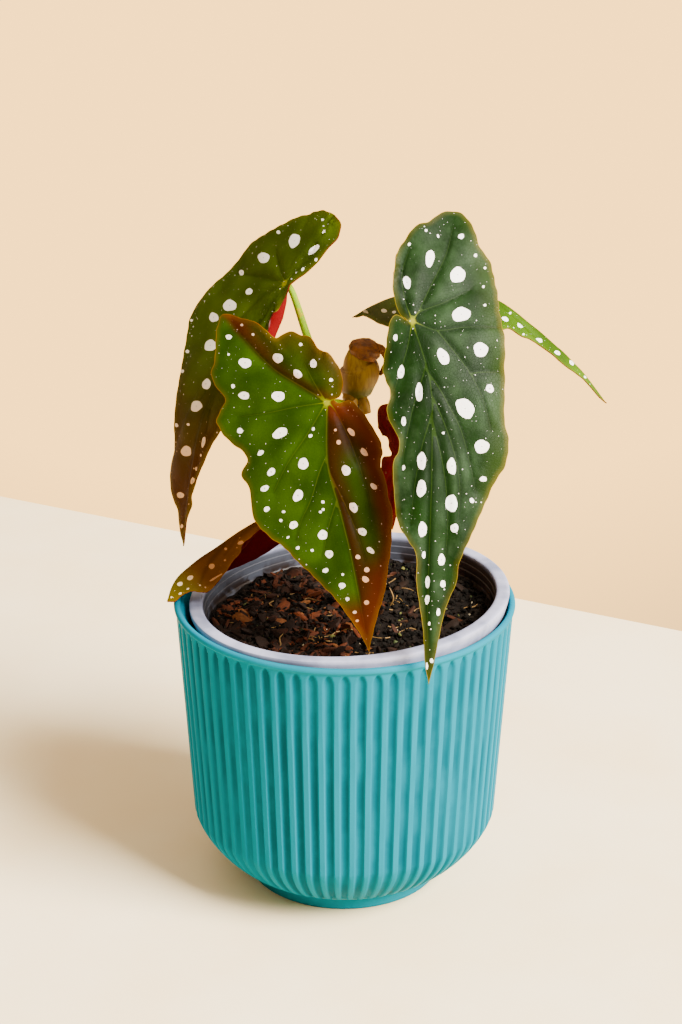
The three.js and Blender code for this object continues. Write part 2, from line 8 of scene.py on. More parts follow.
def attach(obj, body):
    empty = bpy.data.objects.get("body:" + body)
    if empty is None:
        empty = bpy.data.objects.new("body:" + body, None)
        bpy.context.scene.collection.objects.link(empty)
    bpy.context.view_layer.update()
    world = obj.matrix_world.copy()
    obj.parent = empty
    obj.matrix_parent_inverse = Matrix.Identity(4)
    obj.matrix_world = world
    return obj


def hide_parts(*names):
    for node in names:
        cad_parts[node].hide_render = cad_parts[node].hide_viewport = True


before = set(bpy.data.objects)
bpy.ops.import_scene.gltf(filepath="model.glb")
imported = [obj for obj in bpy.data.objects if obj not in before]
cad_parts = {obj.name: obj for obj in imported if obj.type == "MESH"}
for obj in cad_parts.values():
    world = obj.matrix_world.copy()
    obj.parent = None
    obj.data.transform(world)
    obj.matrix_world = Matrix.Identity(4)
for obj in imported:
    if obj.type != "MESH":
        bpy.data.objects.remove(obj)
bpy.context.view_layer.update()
bpy.ops.object.select_all(action="DESELECT")

# Camera: it stands before the plant and above its leaves, and looks down on the
# pot, so that the soil inside it shows.
bpy.ops.object.camera_add(location=(-0.00132, -0.7539, 0.4485), rotation=(math.radians(68.21), 0, 0))
bpy.context.object.data.lens = 77.34
bpy.context.scene.camera = bpy.context.object

# Studio: a pale stone table top whose far edge runs aslant behind the pot,
# warm light all round, and one soft lamp at the front right.


class Look:
    """A finish that is built up from procedural nodes."""

    def __init__(self, name, roughness=0.5):
        self.material = bpy.data.materials.new(name)
        self.material.use_nodes = True
        self.tree = self.material.node_tree
        self.surface = self.tree.nodes["Principled BSDF"]
        self.surface.inputs["Roughness"].default_value = roughness

    def feed(self, socket, value):
        if isinstance(value, bpy.types.NodeSocket):
            self.tree.links.new(value, socket)
        elif socket.type == "RGBA":
            socket.default_value = (*[shade(v) for v in value], 1)
        else:
            socket.default_value = value

    def node(self, kind, inputs=(), output=0, **settings):
        node = self.tree.nodes.new(kind)
        for name, value in settings.items():
            setattr(node, name, value)
        for key, value in dict(inputs).items():
            self.feed(node.inputs[key], value)
        return node.outputs[output]

    def place(self):
        return self.node("ShaderNodeTexCoord", output="Object")

    def mapped(self, vector, stretch):
        return self.node("ShaderNodeMapping", {"Vector": vector, "Scale": stretch})

    def attribute(self, name):
        return self.node("ShaderNodeAttribute", output="Fac", attribute_name=name)

    def math(self, operation, a, b):
        return self.node("ShaderNodeMath", {0: a, 1: b}, operation=operation)

    def times(self, a, b):
        return self.math("MULTIPLY", a, b)

    def plus(self, a, b):
        return self.math("ADD", a, b)

    def minus(self, a, b):
        return self.math("SUBTRACT", a, b)

    def rise(self, value, low, high):
        """0 below low, 1 above high, smooth between; low may be the larger."""
        return self.node("ShaderNodeMapRange", {"Value": value, "From Min": low, "From Max": high},
                         interpolation_type="SMOOTHSTEP")

    def cloud(self, vector, scale, detail=3.0, roughness=0.55):
        return self.node("ShaderNodeTexNoise", {"Vector": vector, "Scale": scale, "Detail": detail,
                                                "Roughness": roughness})

    def cells(self, vector, scale, output="Distance", feature="F1", space="3D"):
        return self.node("ShaderNodeTexVoronoi", {"Vector": vector, "Scale": scale}, output, feature=feature,
                         voronoi_dimensions=space)

    def mix(self, factor, a, b):
        return self.node("ShaderNodeMix", {0: factor, 6: a, 7: b}, 2, data_type="RGBA")

    def patchy(self, a, b, low, high, *cloud):
        """Tone a with soft patches of tone b, where a cloud rises from low to high."""
        return self.mix(self.rise(self.cloud(*cloud), low, high), a, b)

    def split(self, vector, axis):
        return self.node("ShaderNodeSeparateXYZ", {0: vector}, axis)

    def set(self, **inputs):
        for name, value in inputs.items():
            self.feed(self.surface.inputs[name.replace("_", " ").title().replace("Ior", "IOR")], value)
        return self

    def relief(self, height, depth, strength=1.0):
        bump = self.node("ShaderNodeBump", {"Height": height, "Distance": depth, "Strength": strength})
        self.feed(self.surface.inputs["Normal"], bump)


def shade(value):
    """A display value of 0 to 255 as scene-linear light."""
    value /= 255
    return value / 12.92 if value <= 0.04045 else ((value + 0.055) / 1.055) ** 2.4


bpy.ops.mesh.primitive_plane_add(size=2)
table = bpy.context.object
table.name = "table_top"
TABLE_CORNERS = [(-1.4, -2, 0), (1.4, -2, 0), (-1.4, 1.0, 0), (1.4, -0.41, 0)]
for vertex, corner in zip(table.data.vertices, TABLE_CORNERS):
    vertex.co = corner
stone = Look("pale_stone", 0.6)
stone_place = stone.place()
stone_tone = stone.patchy((254, 238, 200), (250, 228, 182), 0.35, 0.7, stone_place, 9, 5)
stone.set(base_color=stone_tone)
table.data.materials.append(stone.material)

world = bpy.data.worlds.new("warm_room")
bpy.context.scene.world = world
world.use_nodes = True
room = world.node_tree
toward = room.nodes.new("ShaderNodeTexCoord").outputs["Generated"]
axes = room.nodes.new("ShaderNodeSeparateXYZ")
room.links.new(toward, axes.inputs[0])


def room_blend(axis, low, high, below, above):
    """One colour of the room below the low value of an axis, another above the high one."""
    ramp = room.nodes.new("ShaderNodeMapRange")
    ramp.inputs["From Min"].default_value, ramp.inputs["From Max"].default_value = low, high
    room.links.new(axes.outputs[axis], ramp.inputs["Value"])
    blend = room.nodes.new("ShaderNodeMix")
    blend.data_type = "RGBA"
    room.links.new(ramp.outputs[0], blend.inputs[0])
    for socket, colour in ((blend.inputs[6], below), (blend.inputs[7], above)):
        if isinstance(colour, tuple):
            socket.default_value = (*colour, 1)
        else:
            room.links.new(colour, socket)
    return blend.outputs[2]


back_wall = room_blend("Y", 0.86, 0.93, (1.0, 0.74, 0.42), (4.3, 2.35, 0.62))
window_side = room_blend("X", -0.6, 0.3, (0.14, 0.09, 0.05), (0.5, 0.38, 0.26))
upper_room = room_blend("Z", 0.35, 0.75, window_side, (1.45, 1.1, 0.75))
walls_and_ceiling = room_blend("Z", -0.02, 0.03, back_wall, upper_room)
room.links.new(walls_and_ceiling, room.nodes["Background"].inputs["Color"])

bpy.ops.object.light_add(type="AREA", location=(2.65, -1.75, 2.8))
lamp = bpy.context.object
lamp.name = "soft_lamp"
lamp.rotation_euler = (Vector((0, 0, 0.12)) - lamp.location).to_track_quat("-Z", "Y").to_euler()
lamp.data.size = 2.0
lamp.data.energy = 1060
lamp.data.color = (1, 0.93, 0.84)

# Cachepot: a slip-cast ceramic pot with 68 upright ribs, a plain rim band
# and a small turned foot, in one sea-green glaze. Its grooves are painted
# darker, partly pooled glaze and partly painted shade, and a pale line along
# its lip is partly thinned glaze and partly a painted highlight.
MM = 0.001
RIBS = 68
RIB_DEPTH = 1.1
FOOT_TOP = (39.4, 6.2)
SHOULDER = (58.1, 27.4)
FLARE = 5.1
RIM_BAND = 110.8
ROUNDNESS = 1.46
GROOVE_SHARE = 0.58
ARCH_CROWN, ARCH_DROP = 110.7, 2.6


def raise_rings(name, segments, rings):
    """Pulls a disc up through [radius, height] rings, as a pot is drawn up; its last disc closes it."""
    radius, height = rings[0]
    bpy.ops.mesh.primitive_circle_add(vertices=segments, radius=radius * MM, fill_type="NGON",
                                      location=(0, 0, height * MM))
    piece = bpy.context.object
    piece.name = name
    bpy.ops.object.transform_apply(location=True)
    bpy.ops.object.mode_set(mode="EDIT")
    for next_radius, next_height in rings[1:]:
        bpy.ops.mesh.extrude_region_move(
            TRANSFORM_OT_translate={"value": (0, 0, (next_height - height) * MM)})
        share = next_radius / radius
        bpy.ops.transform.resize(value=(share, share, 1), center_override=(0, 0, 0))
        radius, height = next_radius, next_height
    bpy.ops.mesh.select_all(action="SELECT")
    bpy.ops.mesh.normals_make_consistent(inside=False)
    bpy.ops.object.mode_set(mode="OBJECT")
    return piece


def finish(piece, look, slot, *nodes, angle=40):
    """Smooths a piece, gives it its finish and lets it stand for its solids."""
    if look is not None:
        piece.data.materials.clear()
        piece.data.materials.append(look.material)
    bpy.ops.object.select_all(action="DESELECT")
    piece.select_set(True)
    bpy.context.view_layer.objects.active = piece
    bpy.ops.object.shade_smooth_by_angle(angle=math.radians(angle))
    bpy.ops.object.select_all(action="DESELECT")
    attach(piece, "root")
    if nodes:
        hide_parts(*nodes)


def corners_of(piece):
    """The piece's corner places in millimetres, one row each."""
    flat = np.empty(len(piece.data.vertices) * 3)
    piece.data.vertices.foreach_get("co", flat)
    return flat.reshape(-1, 3) / MM


def put_corners(piece, places):
    piece.data.vertices.foreach_set("co", (np.asarray(places) * MM).ravel())
    piece.data.update()


def mark(piece, name, values):
    """Keeps one number per corner of the mesh for its finish to read."""
    layer = piece.data.attributes.new(name, "FLOAT", "POINT")
    layer.data.foreach_set("value", np.asarray(values, dtype=np.float32))


turned_corner = []
for step in range(15):
    turn = 1.45 * (1 - step / 14)
    out, up = math.cos(turn) ** ROUNDNESS, 1 - math.sin(turn) ** ROUNDNESS
    turned_corner.append((FOOT_TOP[0] + (SHOULDER[0] - FOOT_TOP[0]) * out,
                          FOOT_TOP[1] + (SHOULDER[1] - FOOT_TOP[1]) * up))
ribbed_wall = [(SHOULDER[0] + FLARE * t, SHOULDER[1] + (RIM_BAND - SHOULDER[1]) * t)
               for t in [k / 8 for k in range(1, 8)] + [0.91, 0.94, 0.955, 0.965, 0.975, 0.985, 0.993, 1]]
cachepot = raise_rings("cachepot_glazed", RIBS * 12, [
    (36.4, 0), (37.1, 0.3), (37.4, 1), (37.7, 4.7), (38.1, 5.3), (38.9, 5.6), (39.5, 5.8)]
    + turned_corner + ribbed_wall
    + [(63.5, 111.1), (63.8, 111.4), (63.9, 111.9), (63.85, 112.5), (63.5, 113), (62.9, 113.2),
       (62.2, 113.15), (61.7, 112.8), (61.4, 112), (61.4, 110.8), (59.8, 108.8), (57.9, 104), (54.2, 27.5),
       (50.6, 19.1), (46.6, 13.8), (41.5, 9.7), (30, 9.7)])
places = corners_of(cachepot)
reach = np.hypot(places[:, 0], places[:, 1])
round_angle = np.arctan2(places[:, 1], places[:, 0])
across_rib = np.abs(((round_angle / (2 * math.pi) * RIBS + 0.5) % 1) - 0.5) * 2
outside = (places[:, 2] < 111) & (places[:, 2] > 6.1)
outside &= reach > np.interp(places[:, 2], [6, 27.4, 108, 111], [37, 56.2, 61, 62])
groove = np.sqrt(np.clip(1 - (across_rib / GROOVE_SHARE) ** 2, 0, 1))
arch_top = ARCH_CROWN - ARCH_DROP * (across_rib / GROOVE_SHARE) ** 2
ease = np.clip((arch_top - places[:, 2]) / 1.1, 0, 1) * np.clip((reach - 40.2) / 1.6, 0, 1)
press = np.where(outside, groove * ease * RIB_DEPTH, 0)
squeeze = np.where(reach > 0, 1 - press / np.maximum(reach, 1), 1)
put_corners(cachepot, places * np.stack([squeeze, squeeze, np.ones_like(squeeze)], 1))
mark(cachepot, "groove", np.where(outside, groove * ease, 0.0))

glaze = Look("sea_green_glaze", 0.3)
glaze_place = glaze.place()
# The grooves are painted darker: partly glaze pooled thicker there, partly painted shade of the flutes.
in_groove = glaze.rise(glaze.attribute("groove"), 0.0, 0.9)
glaze_tone = glaze.mix(in_groove, (0, 112, 136), (0, 76, 92))
glaze_tone = glaze.patchy(glaze_tone, (0, 104, 126), 0.35, 0.85, glaze_place, 40, 3)
height_up = glaze.split(glaze_place, "Z")
# A pale line along the lower lip: partly glaze thinned on the edge, partly a painted highlight where the edge
# catches light.
thin_glaze_and_glint = glaze.times(glaze.rise(height_up, 0.0054, 0.0058), glaze.rise(height_up, 0.0070, 0.0064))
glaze_tone = glaze.mix(glaze.times(thin_glaze_and_glint, 0.22), glaze_tone, (150, 168, 140))
glaze.set(base_color=glaze_tone, specular_ior_level=0.003)
glaze.relief(glaze.cloud(glaze_place, 900, 2), 0.00006, 0.5)
finish(cachepot, glaze, "glaze", "cachepot", angle=50)

# Nursery pot: a thin blown pot of pale grey plastic with a thick flat rim,
# left inside the cachepot, where it leans a little and shows soil marks.
LEAN = math.radians(3.15)
DRAIN_HOLES, DRAIN_RING, DRAIN_RADIUS = 5, 22, 4
lean_turn = Matrix.Rotation(-LEAN, 4, "Y")
rim_centre = Vector((1.65, 0, 114.9))
leaning = Matrix.Translation(rim_centre - lean_turn @ Vector((0, 0, 103))) @ lean_turn


def lean(piece):
    """Moves a piece from the nursery pot's upright frame to where the pot really leans."""
    turn = np.array(leaning)
    put_corners(piece, corners_of(piece) @ turn[:3, :3].T + turn[:3, 3])


nursery = raise_rings("nursery_pot_moulded", 160, [
    (37.4, 0), (38, 0.5), (46, 45), (55.3, 95.8), (55.8, 96), (58.1, 96.1), (58.5, 96.4), (59.1, 98.4),
    (59.8, 100.6), (60, 101.6), (60, 102.2), (59.8, 102.7), (59.3, 102.95), (58.6, 103), (56.4, 103),
    (55.6, 102.9), (55.1, 102.5), (54.95, 101.8), (54.85, 99.2), (54.5, 98.9), (54.45, 96.4), (54.1, 96.1),
    (54.0, 93.6), (53.6, 93.2), (45, 46), (36.6, 1.8), (30, 1.8)])
lean(nursery)
for turn in range(DRAIN_HOLES):
    spin = turn / DRAIN_HOLES * 2 * math.pi
    hole = leaning @ Vector((DRAIN_RING * math.cos(spin), DRAIN_RING * math.sin(spin), 1)) * MM
    bpy.ops.mesh.primitive_cylinder_add(vertices=24, radius=DRAIN_RADIUS * MM, depth=2 * DRAIN_RADIUS * MM,
                                        location=hole)
    drill = bpy.context.object
    cut = nursery.modifiers.new("drain", "BOOLEAN")
    cut.object = drill
    cut.solver = "EXACT"
    bpy.context.view_layer.objects.active = nursery
    bpy.ops.object.modifier_apply(modifier=cut.name)
    bpy.data.objects.remove(drill)
unleaned = (corners_of(nursery) - np.array(leaning.translation)) @ np.array(leaning.to_3x3())
mark(nursery, "outside", np.clip(np.hypot(unleaned[:, 0], unleaned[:, 1]) - 56.5, 0, 1))
plastic = Look("pale_grey_plastic", 0.5)
plastic_place = plastic.place()
upright = plastic.node("ShaderNodeVectorMath", {0: plastic_place, 1: (-math.sin(LEAN), 0, math.cos(LEAN))},
                       "Value", operation="DOT_PRODUCT")
rim_height = float(leaning.translation.z * math.cos(LEAN) - leaning.translation.x * math.sin(LEAN)) * MM
inner_side = plastic.times(plastic.rise(upright, rim_height + 0.1025, rim_height + 0.1005),
                          plastic.rise(plastic.attribute("outside"), 1.0, 0.0))
blotch = plastic.rise(plastic.cloud(plastic_place, 55, 5), 0.35, 0.7)
rim_tone = plastic.mix(blotch, (166, 170, 198), (116, 123, 150))
# Painted shade: below its rim the pale plastic is painted dark grey, chiefly the inner wall that lies in the
# pot's shade.
shaded_wall_tone = plastic.mix(plastic.cloud(plastic_place, 90, 4), (84, 89, 103), (54, 58, 69))
plastic_tone = plastic.mix(inner_side, rim_tone, shaded_wall_tone)
soil_mark = plastic.times(plastic.rise(upright, rim_height + 0.1000, rim_height + 0.0935),
                         plastic.rise(plastic.cloud(plastic_place, 130, 6), 0.40, 0.56))
right_side = plastic.rise(plastic.split(plastic_place, "X"), 0.015, 0.045)
film = plastic.times(right_side, plastic.times(inner_side, 0.75))
plastic_tone = plastic.mix(film, plastic_tone, (70, 50, 34))
plastic_tone = plastic.mix(soil_mark, plastic_tone, (30, 18, 12))
plastic.set(base_color=plastic_tone, specular_ior_level=0.3)
plastic.relief(plastic.cloud(plastic_place, 700, 3), 0.00005, 0.4)
finish(nursery, plastic, "grey_plastic", "nursery_pot")

# Soil: a dark moist potting mix pressed into the nursery pot, with bark
# chips, crumbs, fine roots, specks of stone and a little moss lying on it.
SOIL_LEVEL = 93.0
CANE_CENTRE = np.array([2.8, 8.0])
CLEAR_SPOT, CLEAR_REACH = (1.6, 8), 4.4
seed = np.random.default_rng(7)


def soil_top(x, y):
    """Height of the soil's surface in the nursery pot's frame."""
    broad = np.sin(x * 0.13 + 1) * np.cos(y * 0.11 + 0.5)
    fine = np.sin(x * 0.37 + y * 0.29) * np.cos(y * 0.41 - x * 0.17)
    return SOIL_LEVEL + broad + 0.6 * fine


def bank(out):
    """How far the soil is pushed up against the pot's wall, at this distance from the middle."""
    return 0.8 * max(0, out - 48) / 5


soil = raise_rings("soil_bed", 220, [(36, 2.1), (44, 46), (52.4, 90)]
                   + [(r, SOIL_LEVEL) for r in (52.8, 52, 51, 49.6, *range(48, 4, -2), 4.6, 3.9)]
                   + [(3.7, SOIL_LEVEL - 1), (3.6, 82)])
places = corners_of(soil)
for row in places:
    if row[2] > 91:
        row[2] = soil_top(row[0], row[1]) + row[2] - SOIL_LEVEL
        reach_out = math.hypot(row[0], row[1])
        edge_ease = min(1, max(0, (reach_out - 4) / 4))
        rough = noise.fractal(Vector((row[0] * 0.45, row[1] * 0.45, 3)), 0.7, 2.2, 5)
        row[2] += edge_ease * 0.9 * rough + bank(reach_out)
put_corners(soil, places)
lean(soil)
places = corners_of(soil)
# the middle rings close round the cane's foot
upright_places = (places - np.array(leaning.translation)) @ np.array(leaning.to_3x3())
near = np.clip(1 - (np.hypot(upright_places[:, 0], upright_places[:, 1]) - 3) / 40, 0, 1)
near[upright_places[:, 2] < 70] = 0
places[:, :2] += near[:, None] * (CANE_CENTRE - np.array([(leaning @ Vector((0, 0, 90))).x, 0]))
put_corners(soil, places)
earth = Look("potting_mix", 0.9)
earth_place = earth.place()
earth_tone = earth.patchy((9, 6, 3), (19, 11, 6), 0.35, 0.7, earth_place, 260, 6, 0.7)
earth_tone = earth.mix(earth.rise(earth.cells(earth_place, 420), 0.5, 0.1), earth_tone, (14, 9, 6))
earth.set(base_color=earth_tone, specular_ior_level=0.15)
earth.relief(earth.cloud(earth_place, 700, 6, 0.75), 0.0009, 1.0)
finish(soil, earth, "potting_soil", "soil")


def scatter(name, pattern, count, size, reach, look, flatten=1.0, sink=0.2, tilt=0.5,
            left_share=0.0):
    """Lays copies of one modelled bit on the soil, each turned, sized and shaded by its own chance.
    None lies on the spot kept clear for the cane."""
    base = corners_of(pattern)
    faces = [tuple(face.vertices) for face in pattern.data.polygons]
    bpy.data.objects.remove(pattern)
    corners, skins, shades = [], [], []
    for k in range(count):
        length = seed.uniform(*size)
        out = reach * math.sqrt(seed.uniform(0.006, 1))
        spin = seed.uniform(0, 2 * math.pi)
        x, y = out * math.cos(spin), out * math.sin(spin)
        if seed.uniform() < left_share and x > 0:
            x = -x
        scale = np.array([length, length * seed.uniform(0.14, 0.55),
                          length * flatten * seed.uniform(0.6, 1.3)])
        bent = base * (1 + seed.uniform(-0.22, 0.22, base.shape))
        turn = np.array(Matrix.Rotation(seed.uniform(0, 2 * math.pi), 3, "Z")
                        @ Matrix.Rotation(seed.normal(0, tilt), 3, "X")
                        @ Matrix.Rotation(seed.normal(0, tilt), 3, "Y"))
        if math.hypot(x - CLEAR_SPOT[0], y - CLEAR_SPOT[1]) < CLEAR_REACH + length * 0.5:
            continue
        height = soil_top(x, y) + scale[2] * (0.5 - sink) + bank(out)
        corners.append((bent * scale) @ turn.T + [x, y, height])
        skins += [tuple(i + len(base) * (len(corners) - 1) for i in face) for face in faces]
        shades.append(np.full(len(base), seed.uniform()))
    mesh = bpy.data.meshes.new(name)
    mesh.from_pydata((np.concatenate(corners) * MM).tolist(), [], skins)
    piece = bpy.data.objects.new(name, mesh)
    bpy.context.collection.objects.link(piece)
    mark(piece, "shade", np.concatenate(shades))
    lean(piece)
    finish(piece, look, "potting_soil", angle=30)


bark = Look("bark_chips", 0.75)
bark_place = bark.place()
bark_chance = bark.attribute("shade")
bark_tone = bark.mix(bark.rise(bark_chance, 0.35, 0.75), (28, 15, 8), (112, 52, 20))
bark_tone = bark.mix(bark.rise(bark_chance, 0.86, 0.97), bark_tone, (150, 92, 46))
bark_tone = bark.patchy(bark_tone, (24, 14, 9), 0.42, 0.6, bark_place, 28, 2)
bark_tone = bark.mix(bark.cloud(bark.mapped(bark_place, (1, 1, 3)), 600, 4), bark_tone, (26, 15, 9))
# Painted shade: the chips are painted darker towards the right, where the pot's rim shades the soil.
rim_shade_side = bark.times(bark.rise(bark.split(bark_place, "X"), 0.0, 0.022), 0.55)
bark_tone = bark.mix(rim_shade_side, bark_tone, (16, 9, 4))
bark.set(base_color=bark_tone, specular_ior_level=0.14)
bark.relief(bark.cloud(bark_place, 900, 4), 0.0003, 0.8)
bpy.ops.mesh.primitive_cube_add(size=MM)
bpy.ops.object.mode_set(mode="EDIT")
bpy.ops.mesh.bevel(offset=0.22 * MM, segments=1)
bpy.ops.object.mode_set(mode="OBJECT")
scatter("bark_chips", bpy.context.object, 640, (2, 8.5), 50.5, bark, flatten=0.2, tilt=0.45, left_share=0.7)

crumb = Look("soil_crumbs", 0.9)
crumb_tone = crumb.mix(crumb.rise(crumb.attribute("shade"), 0.3, 0.95), (7, 5, 2), (18, 11, 5))
crumb.set(base_color=crumb_tone, specular_ior_level=0.15)
crumb.relief(crumb.cloud(crumb.place(), 1500, 4), 0.0003, 0.8)
bpy.ops.mesh.primitive_ico_sphere_add(subdivisions=1, radius=0.5 * MM)
scatter("soil_crumbs", bpy.context.object, 3000, (0.8, 2.8), 51.5, crumb, flatten=0.7, sink=0.0, tilt=0.8)

pebble = Look("stone_specks", 0.7).set(base_color=(150, 138, 112))
bpy.ops.mesh.primitive_ico_sphere_add(subdivisions=1, radius=0.5 * MM)
scatter("stone_specks", bpy.context.object, 34, (0.5, 1.2), 50, pebble, flatten=0.8, sink=-0.2)

moss = Look("moss_bits", 0.85)
moss.set(base_color=moss.mix(moss.attribute("shade"), (42, 54, 14), (90, 88, 22)))
bpy.ops.mesh.primitive_ico_sphere_add(subdivisions=2, radius=0.5 * MM)
scatter("moss_bits", bpy.context.object, 60, (0.7, 2.4), 50, moss, flatten=0.6, sink=0.0)


def stem(name, stops, smooth=10):
    """A round stalk drawn along [x, y, z, radius] stops in millimetres, with closed ends."""
    bpy.ops.curve.primitive_bezier_curve_add()
    drawn = bpy.context.object
    drawn.name = name
    drawn.data.dimensions = "3D"
    drawn.data.resolution_u = smooth
    drawn.data.bevel_depth = MM
    drawn.data.bevel_resolution = 4
    drawn.data.use_fill_caps = True
    line = drawn.data.splines[0]
    line.bezier_points.add(len(stops) - 2)
    for point, (x, y, z, radius) in zip(line.bezier_points, stops):
        point.co = Vector((x, y, z)) * MM
        point.radius = radius
        point.handle_left_type = point.handle_right_type = "AUTO"
    bpy.ops.object.convert(target="MESH")
    piece = bpy.context.object
    bpy.ops.object.mode_set(mode="EDIT")
    bpy.ops.mesh.select_all(action="SELECT")
    bpy.ops.mesh.remove_doubles(threshold=0.00001)
    bpy.ops.mesh.normals_make_consistent(inside=False)
    bpy.ops.object.mode_set(mode="OBJECT")
    return piece


def joined(name, pieces):
    bpy.ops.object.select_all(action="DESELECT")
    for piece in pieces:
        piece.select_set(True)
    bpy.context.view_layer.objects.active = pieces[0]
    bpy.ops.object.join()
    pieces[0].name = name
    return pieces[0]


fibre = Look("root_fibres", 0.7)
fibre.set(base_color=fibre.mix(fibre.cloud(fibre.place(), 120), (70, 46, 22), (140, 108, 50)))
strands = [
    stem("root", [(-24.6, -27, 103.6, 0.25), (-23.4, -27.4, 106, 0.3), (-23.6, -27.2, 108.6, 0.22),
                  (-22.4, -27, 110.2, 0.15)]),
    stem("root", [(17.2, 6, 106.5, 0.3), (18.4, 5.4, 109.6, 0.34), (17.8, 5.6, 112.2, 0.3),
                  (16.9, 6, 114, 0.16)]),
]
STRANDS, STRIDE = 46, 2.4
for k in range(STRANDS):
    out = 48 * math.sqrt(seed.uniform())
    spin, way = seed.uniform(0, 2 * math.pi), seed.uniform(0, 2 * math.pi)
    x, y = out * math.cos(spin), out * math.sin(spin)
    stops = []
    for part in range(4):
        local = Vector((x, y, float(soil_top(x, y)) + seed.uniform(0.3, 1.3)))
        stops.append((*(leaning @ local), 0.14 + 0.12 * seed.uniform()))
        way += seed.normal(0, 0.6)
        x, y = x + STRIDE * math.cos(way), y + STRIDE * math.sin(way)
        if math.hypot(x, y) > 50:
            x, y = x * 0.93, y * 0.93
    strands.append(stem("root", stops, 4))
finish(joined("root_fibres", strands), fibre, "potting_soil")

# Cane and leaf stalks: juicy green stems. The cane swells at each leaf
# joint, and every stalk grows out of it and meets the back of its blade.
cane_skin = Look("cane_skin", 0.42)
cane_place = cane_skin.place()
cane_tone = cane_skin.mix(cane_skin.cloud(cane_skin.mapped(cane_place, (1, 1, 0.25)), 220, 4),
                          (92, 84, 26), (72, 46, 18))
cane_tone = cane_skin.mix(cane_skin.rise(cane_skin.cells(cane_place, 520), 0.16, 0.08), cane_tone,
                          (126, 104, 56))
cane_skin.set(base_color=cane_tone, specular_ior_level=0.25)
cane_skin.relief(cane_skin.cloud(cane_place, 500, 3), 0.0001, 0.6)
cane = stem("cane_green", [
    (2.8, 8, 96, 3.2), (2.8, 8, 110, 3.15), (2.8, 8, 115, 3.2), (2.8, 8, 118, 3.9), (2.8, 8, 121, 3.2),
    (2.8, 8, 138, 3.0), (2.8, 8, 141, 3.7), (2.8, 8, 144, 2.95), (2.8, 8, 163, 2.9), (2.8, 7.9, 166, 3.6),
    (2.8, 7.8, 169, 2.8), (3.0, 7.1, 180, 2.75), (3.2, 6.4, 189, 2.7)])
finish(cane, cane_skin, "stem", "cane")

stalk_skin = Look("stalk_skin", 0.38)
stalk_place = stalk_skin.place()
stalk_tone = stalk_skin.mix(stalk_skin.rise(stalk_skin.split(stalk_place, "Z"), 0.15, 0.215),
                            (108, 92, 12), (122, 160, 0))
stalk_tone = stalk_skin.patchy(stalk_tone, (160, 150, 8), 0.5, 0.72, stalk_place, 380, 3)
stalk_skin.set(base_color=stalk_tone, specular_ior_level=0.12, subsurface_weight=0.12,
               subsurface_radius=(0.002, 0.0015, 0.0006), subsurface_scale=0.6)


def stalk(node, *stops):
    """One leaf stalk in place of its solid."""
    piece = stem(node + "_skin", stops)
    finish(piece, stalk_skin, "stalk", node)


stalk("stalk_tall", (5.9, 7.6, 134.4, 1.9), (16.1, 6, 150, 1.7), (22, 2, 175, 1.65), (24.6, -4, 203, 1.6),
      (23.6, -16.4, 223.6, 1.4), (23.6, -18.4, 225.6, 1.6))
stalk("stalk_front", (1.6, 4.6, 184.9, 2.4), (-1.5, -5, 190.5, 2.1), (-5.9, -15.2, 194.6, 1.7),
      (-6.2, -17.4, 195.7, 1.8))
stalk("stalk_left", (-0.1, 9.2, 162.6, 1.8), (-5.4, 13, 186.1, 1.6), (-13.3, 20, 207.2, 1.5),
      (-20.4, 21.4, 227.4, 1.2), (-21.7, 20.4, 228.5, 1.3))
stalk("stalk_right", (6, 9.6, 125.9, 1.8), (18, 16, 146.4, 1.6), (28, 21, 170, 1.5), (31.5, 24.5, 200, 1.4),
      (31.3, 26, 220.8, 1.2), (31.3, 26, 223.2, 1.4))
stalk("stalk_low", (-0.4, 7, 142.4, 1.7), (-8, 5, 147.5, 1.4), (-14.8, 4.2, 151.9, 1.1),
      (-15.6, 4.1, 153.4, 1.1))
stalk("stalk_young", (5.4, 5.2, 121.3, 1.4), (12, 0, 138, 1.25), (18.5, -6, 158, 1.1),
      (19.5, -11, 170, 1.0), (19.5, -13.3, 170.4, 1.0))

# Growing tip: a papery tan sheath swollen round the bud, a dried brown
# cap whose torn strip hooks over to the right, and the stub of a cut stalk.
paper = Look("papery_sheath", 0.5)
paper_place = paper.place()
streak = paper.cloud(paper.mapped(paper_place, (1, 1, 0.12)), 900, 4, 0.65)
paper_tone = paper.mix(paper.rise(streak, 0.35, 0.68), (150, 121, 20), (116, 90, 12))
paper_tone = paper.mix(paper.rise(paper.split(paper_place, "X"), 0.007, 0.015), paper_tone, (116, 74, 8))
paper_tone = paper.mix(paper.rise(paper.split(paper_place, "Z"), 0.196, 0.193), paper_tone, (92, 88, 8))
paper_tone = paper.mix(paper.rise(paper.split(paper_place, "X"), 0.002, -0.0015), paper_tone, (156, 120, 84))
torn_line = paper.plus(paper.split(paper_place, "Z"),
                       paper.times(paper.split(paper_place, "X"), 0.42))
torn_line = paper.plus(torn_line, paper.times(paper.cloud(paper_place, 300, 4), 0.0026))
paper_tone = paper.mix(paper.rise(torn_line, 0.2093, 0.2097), paper_tone, (92, 44, 10))
paper.set(base_color=paper_tone, specular_ior_level=0.25)
paper.relief(streak, 0.00014, 0.8)
sheath = stem("sheath_papery", [
    (3.2, 6.4, 189.2, 2.8), (3.4, 6.3, 190.3, 4.4), (3.9, 6.1, 193.0, 6.4), (4.7, 6, 196.8, 7.2),
    (5.5, 6, 199.6, 7.4), (5.4, 6, 201.6, 6.9), (5.0, 6, 203.4, 5.5), (5.2, 6, 205.6, 4.6),
    (5.8, 6, 207.4, 4.0)], 14)
finish(sheath, paper, "sheath", "bud_sheath")

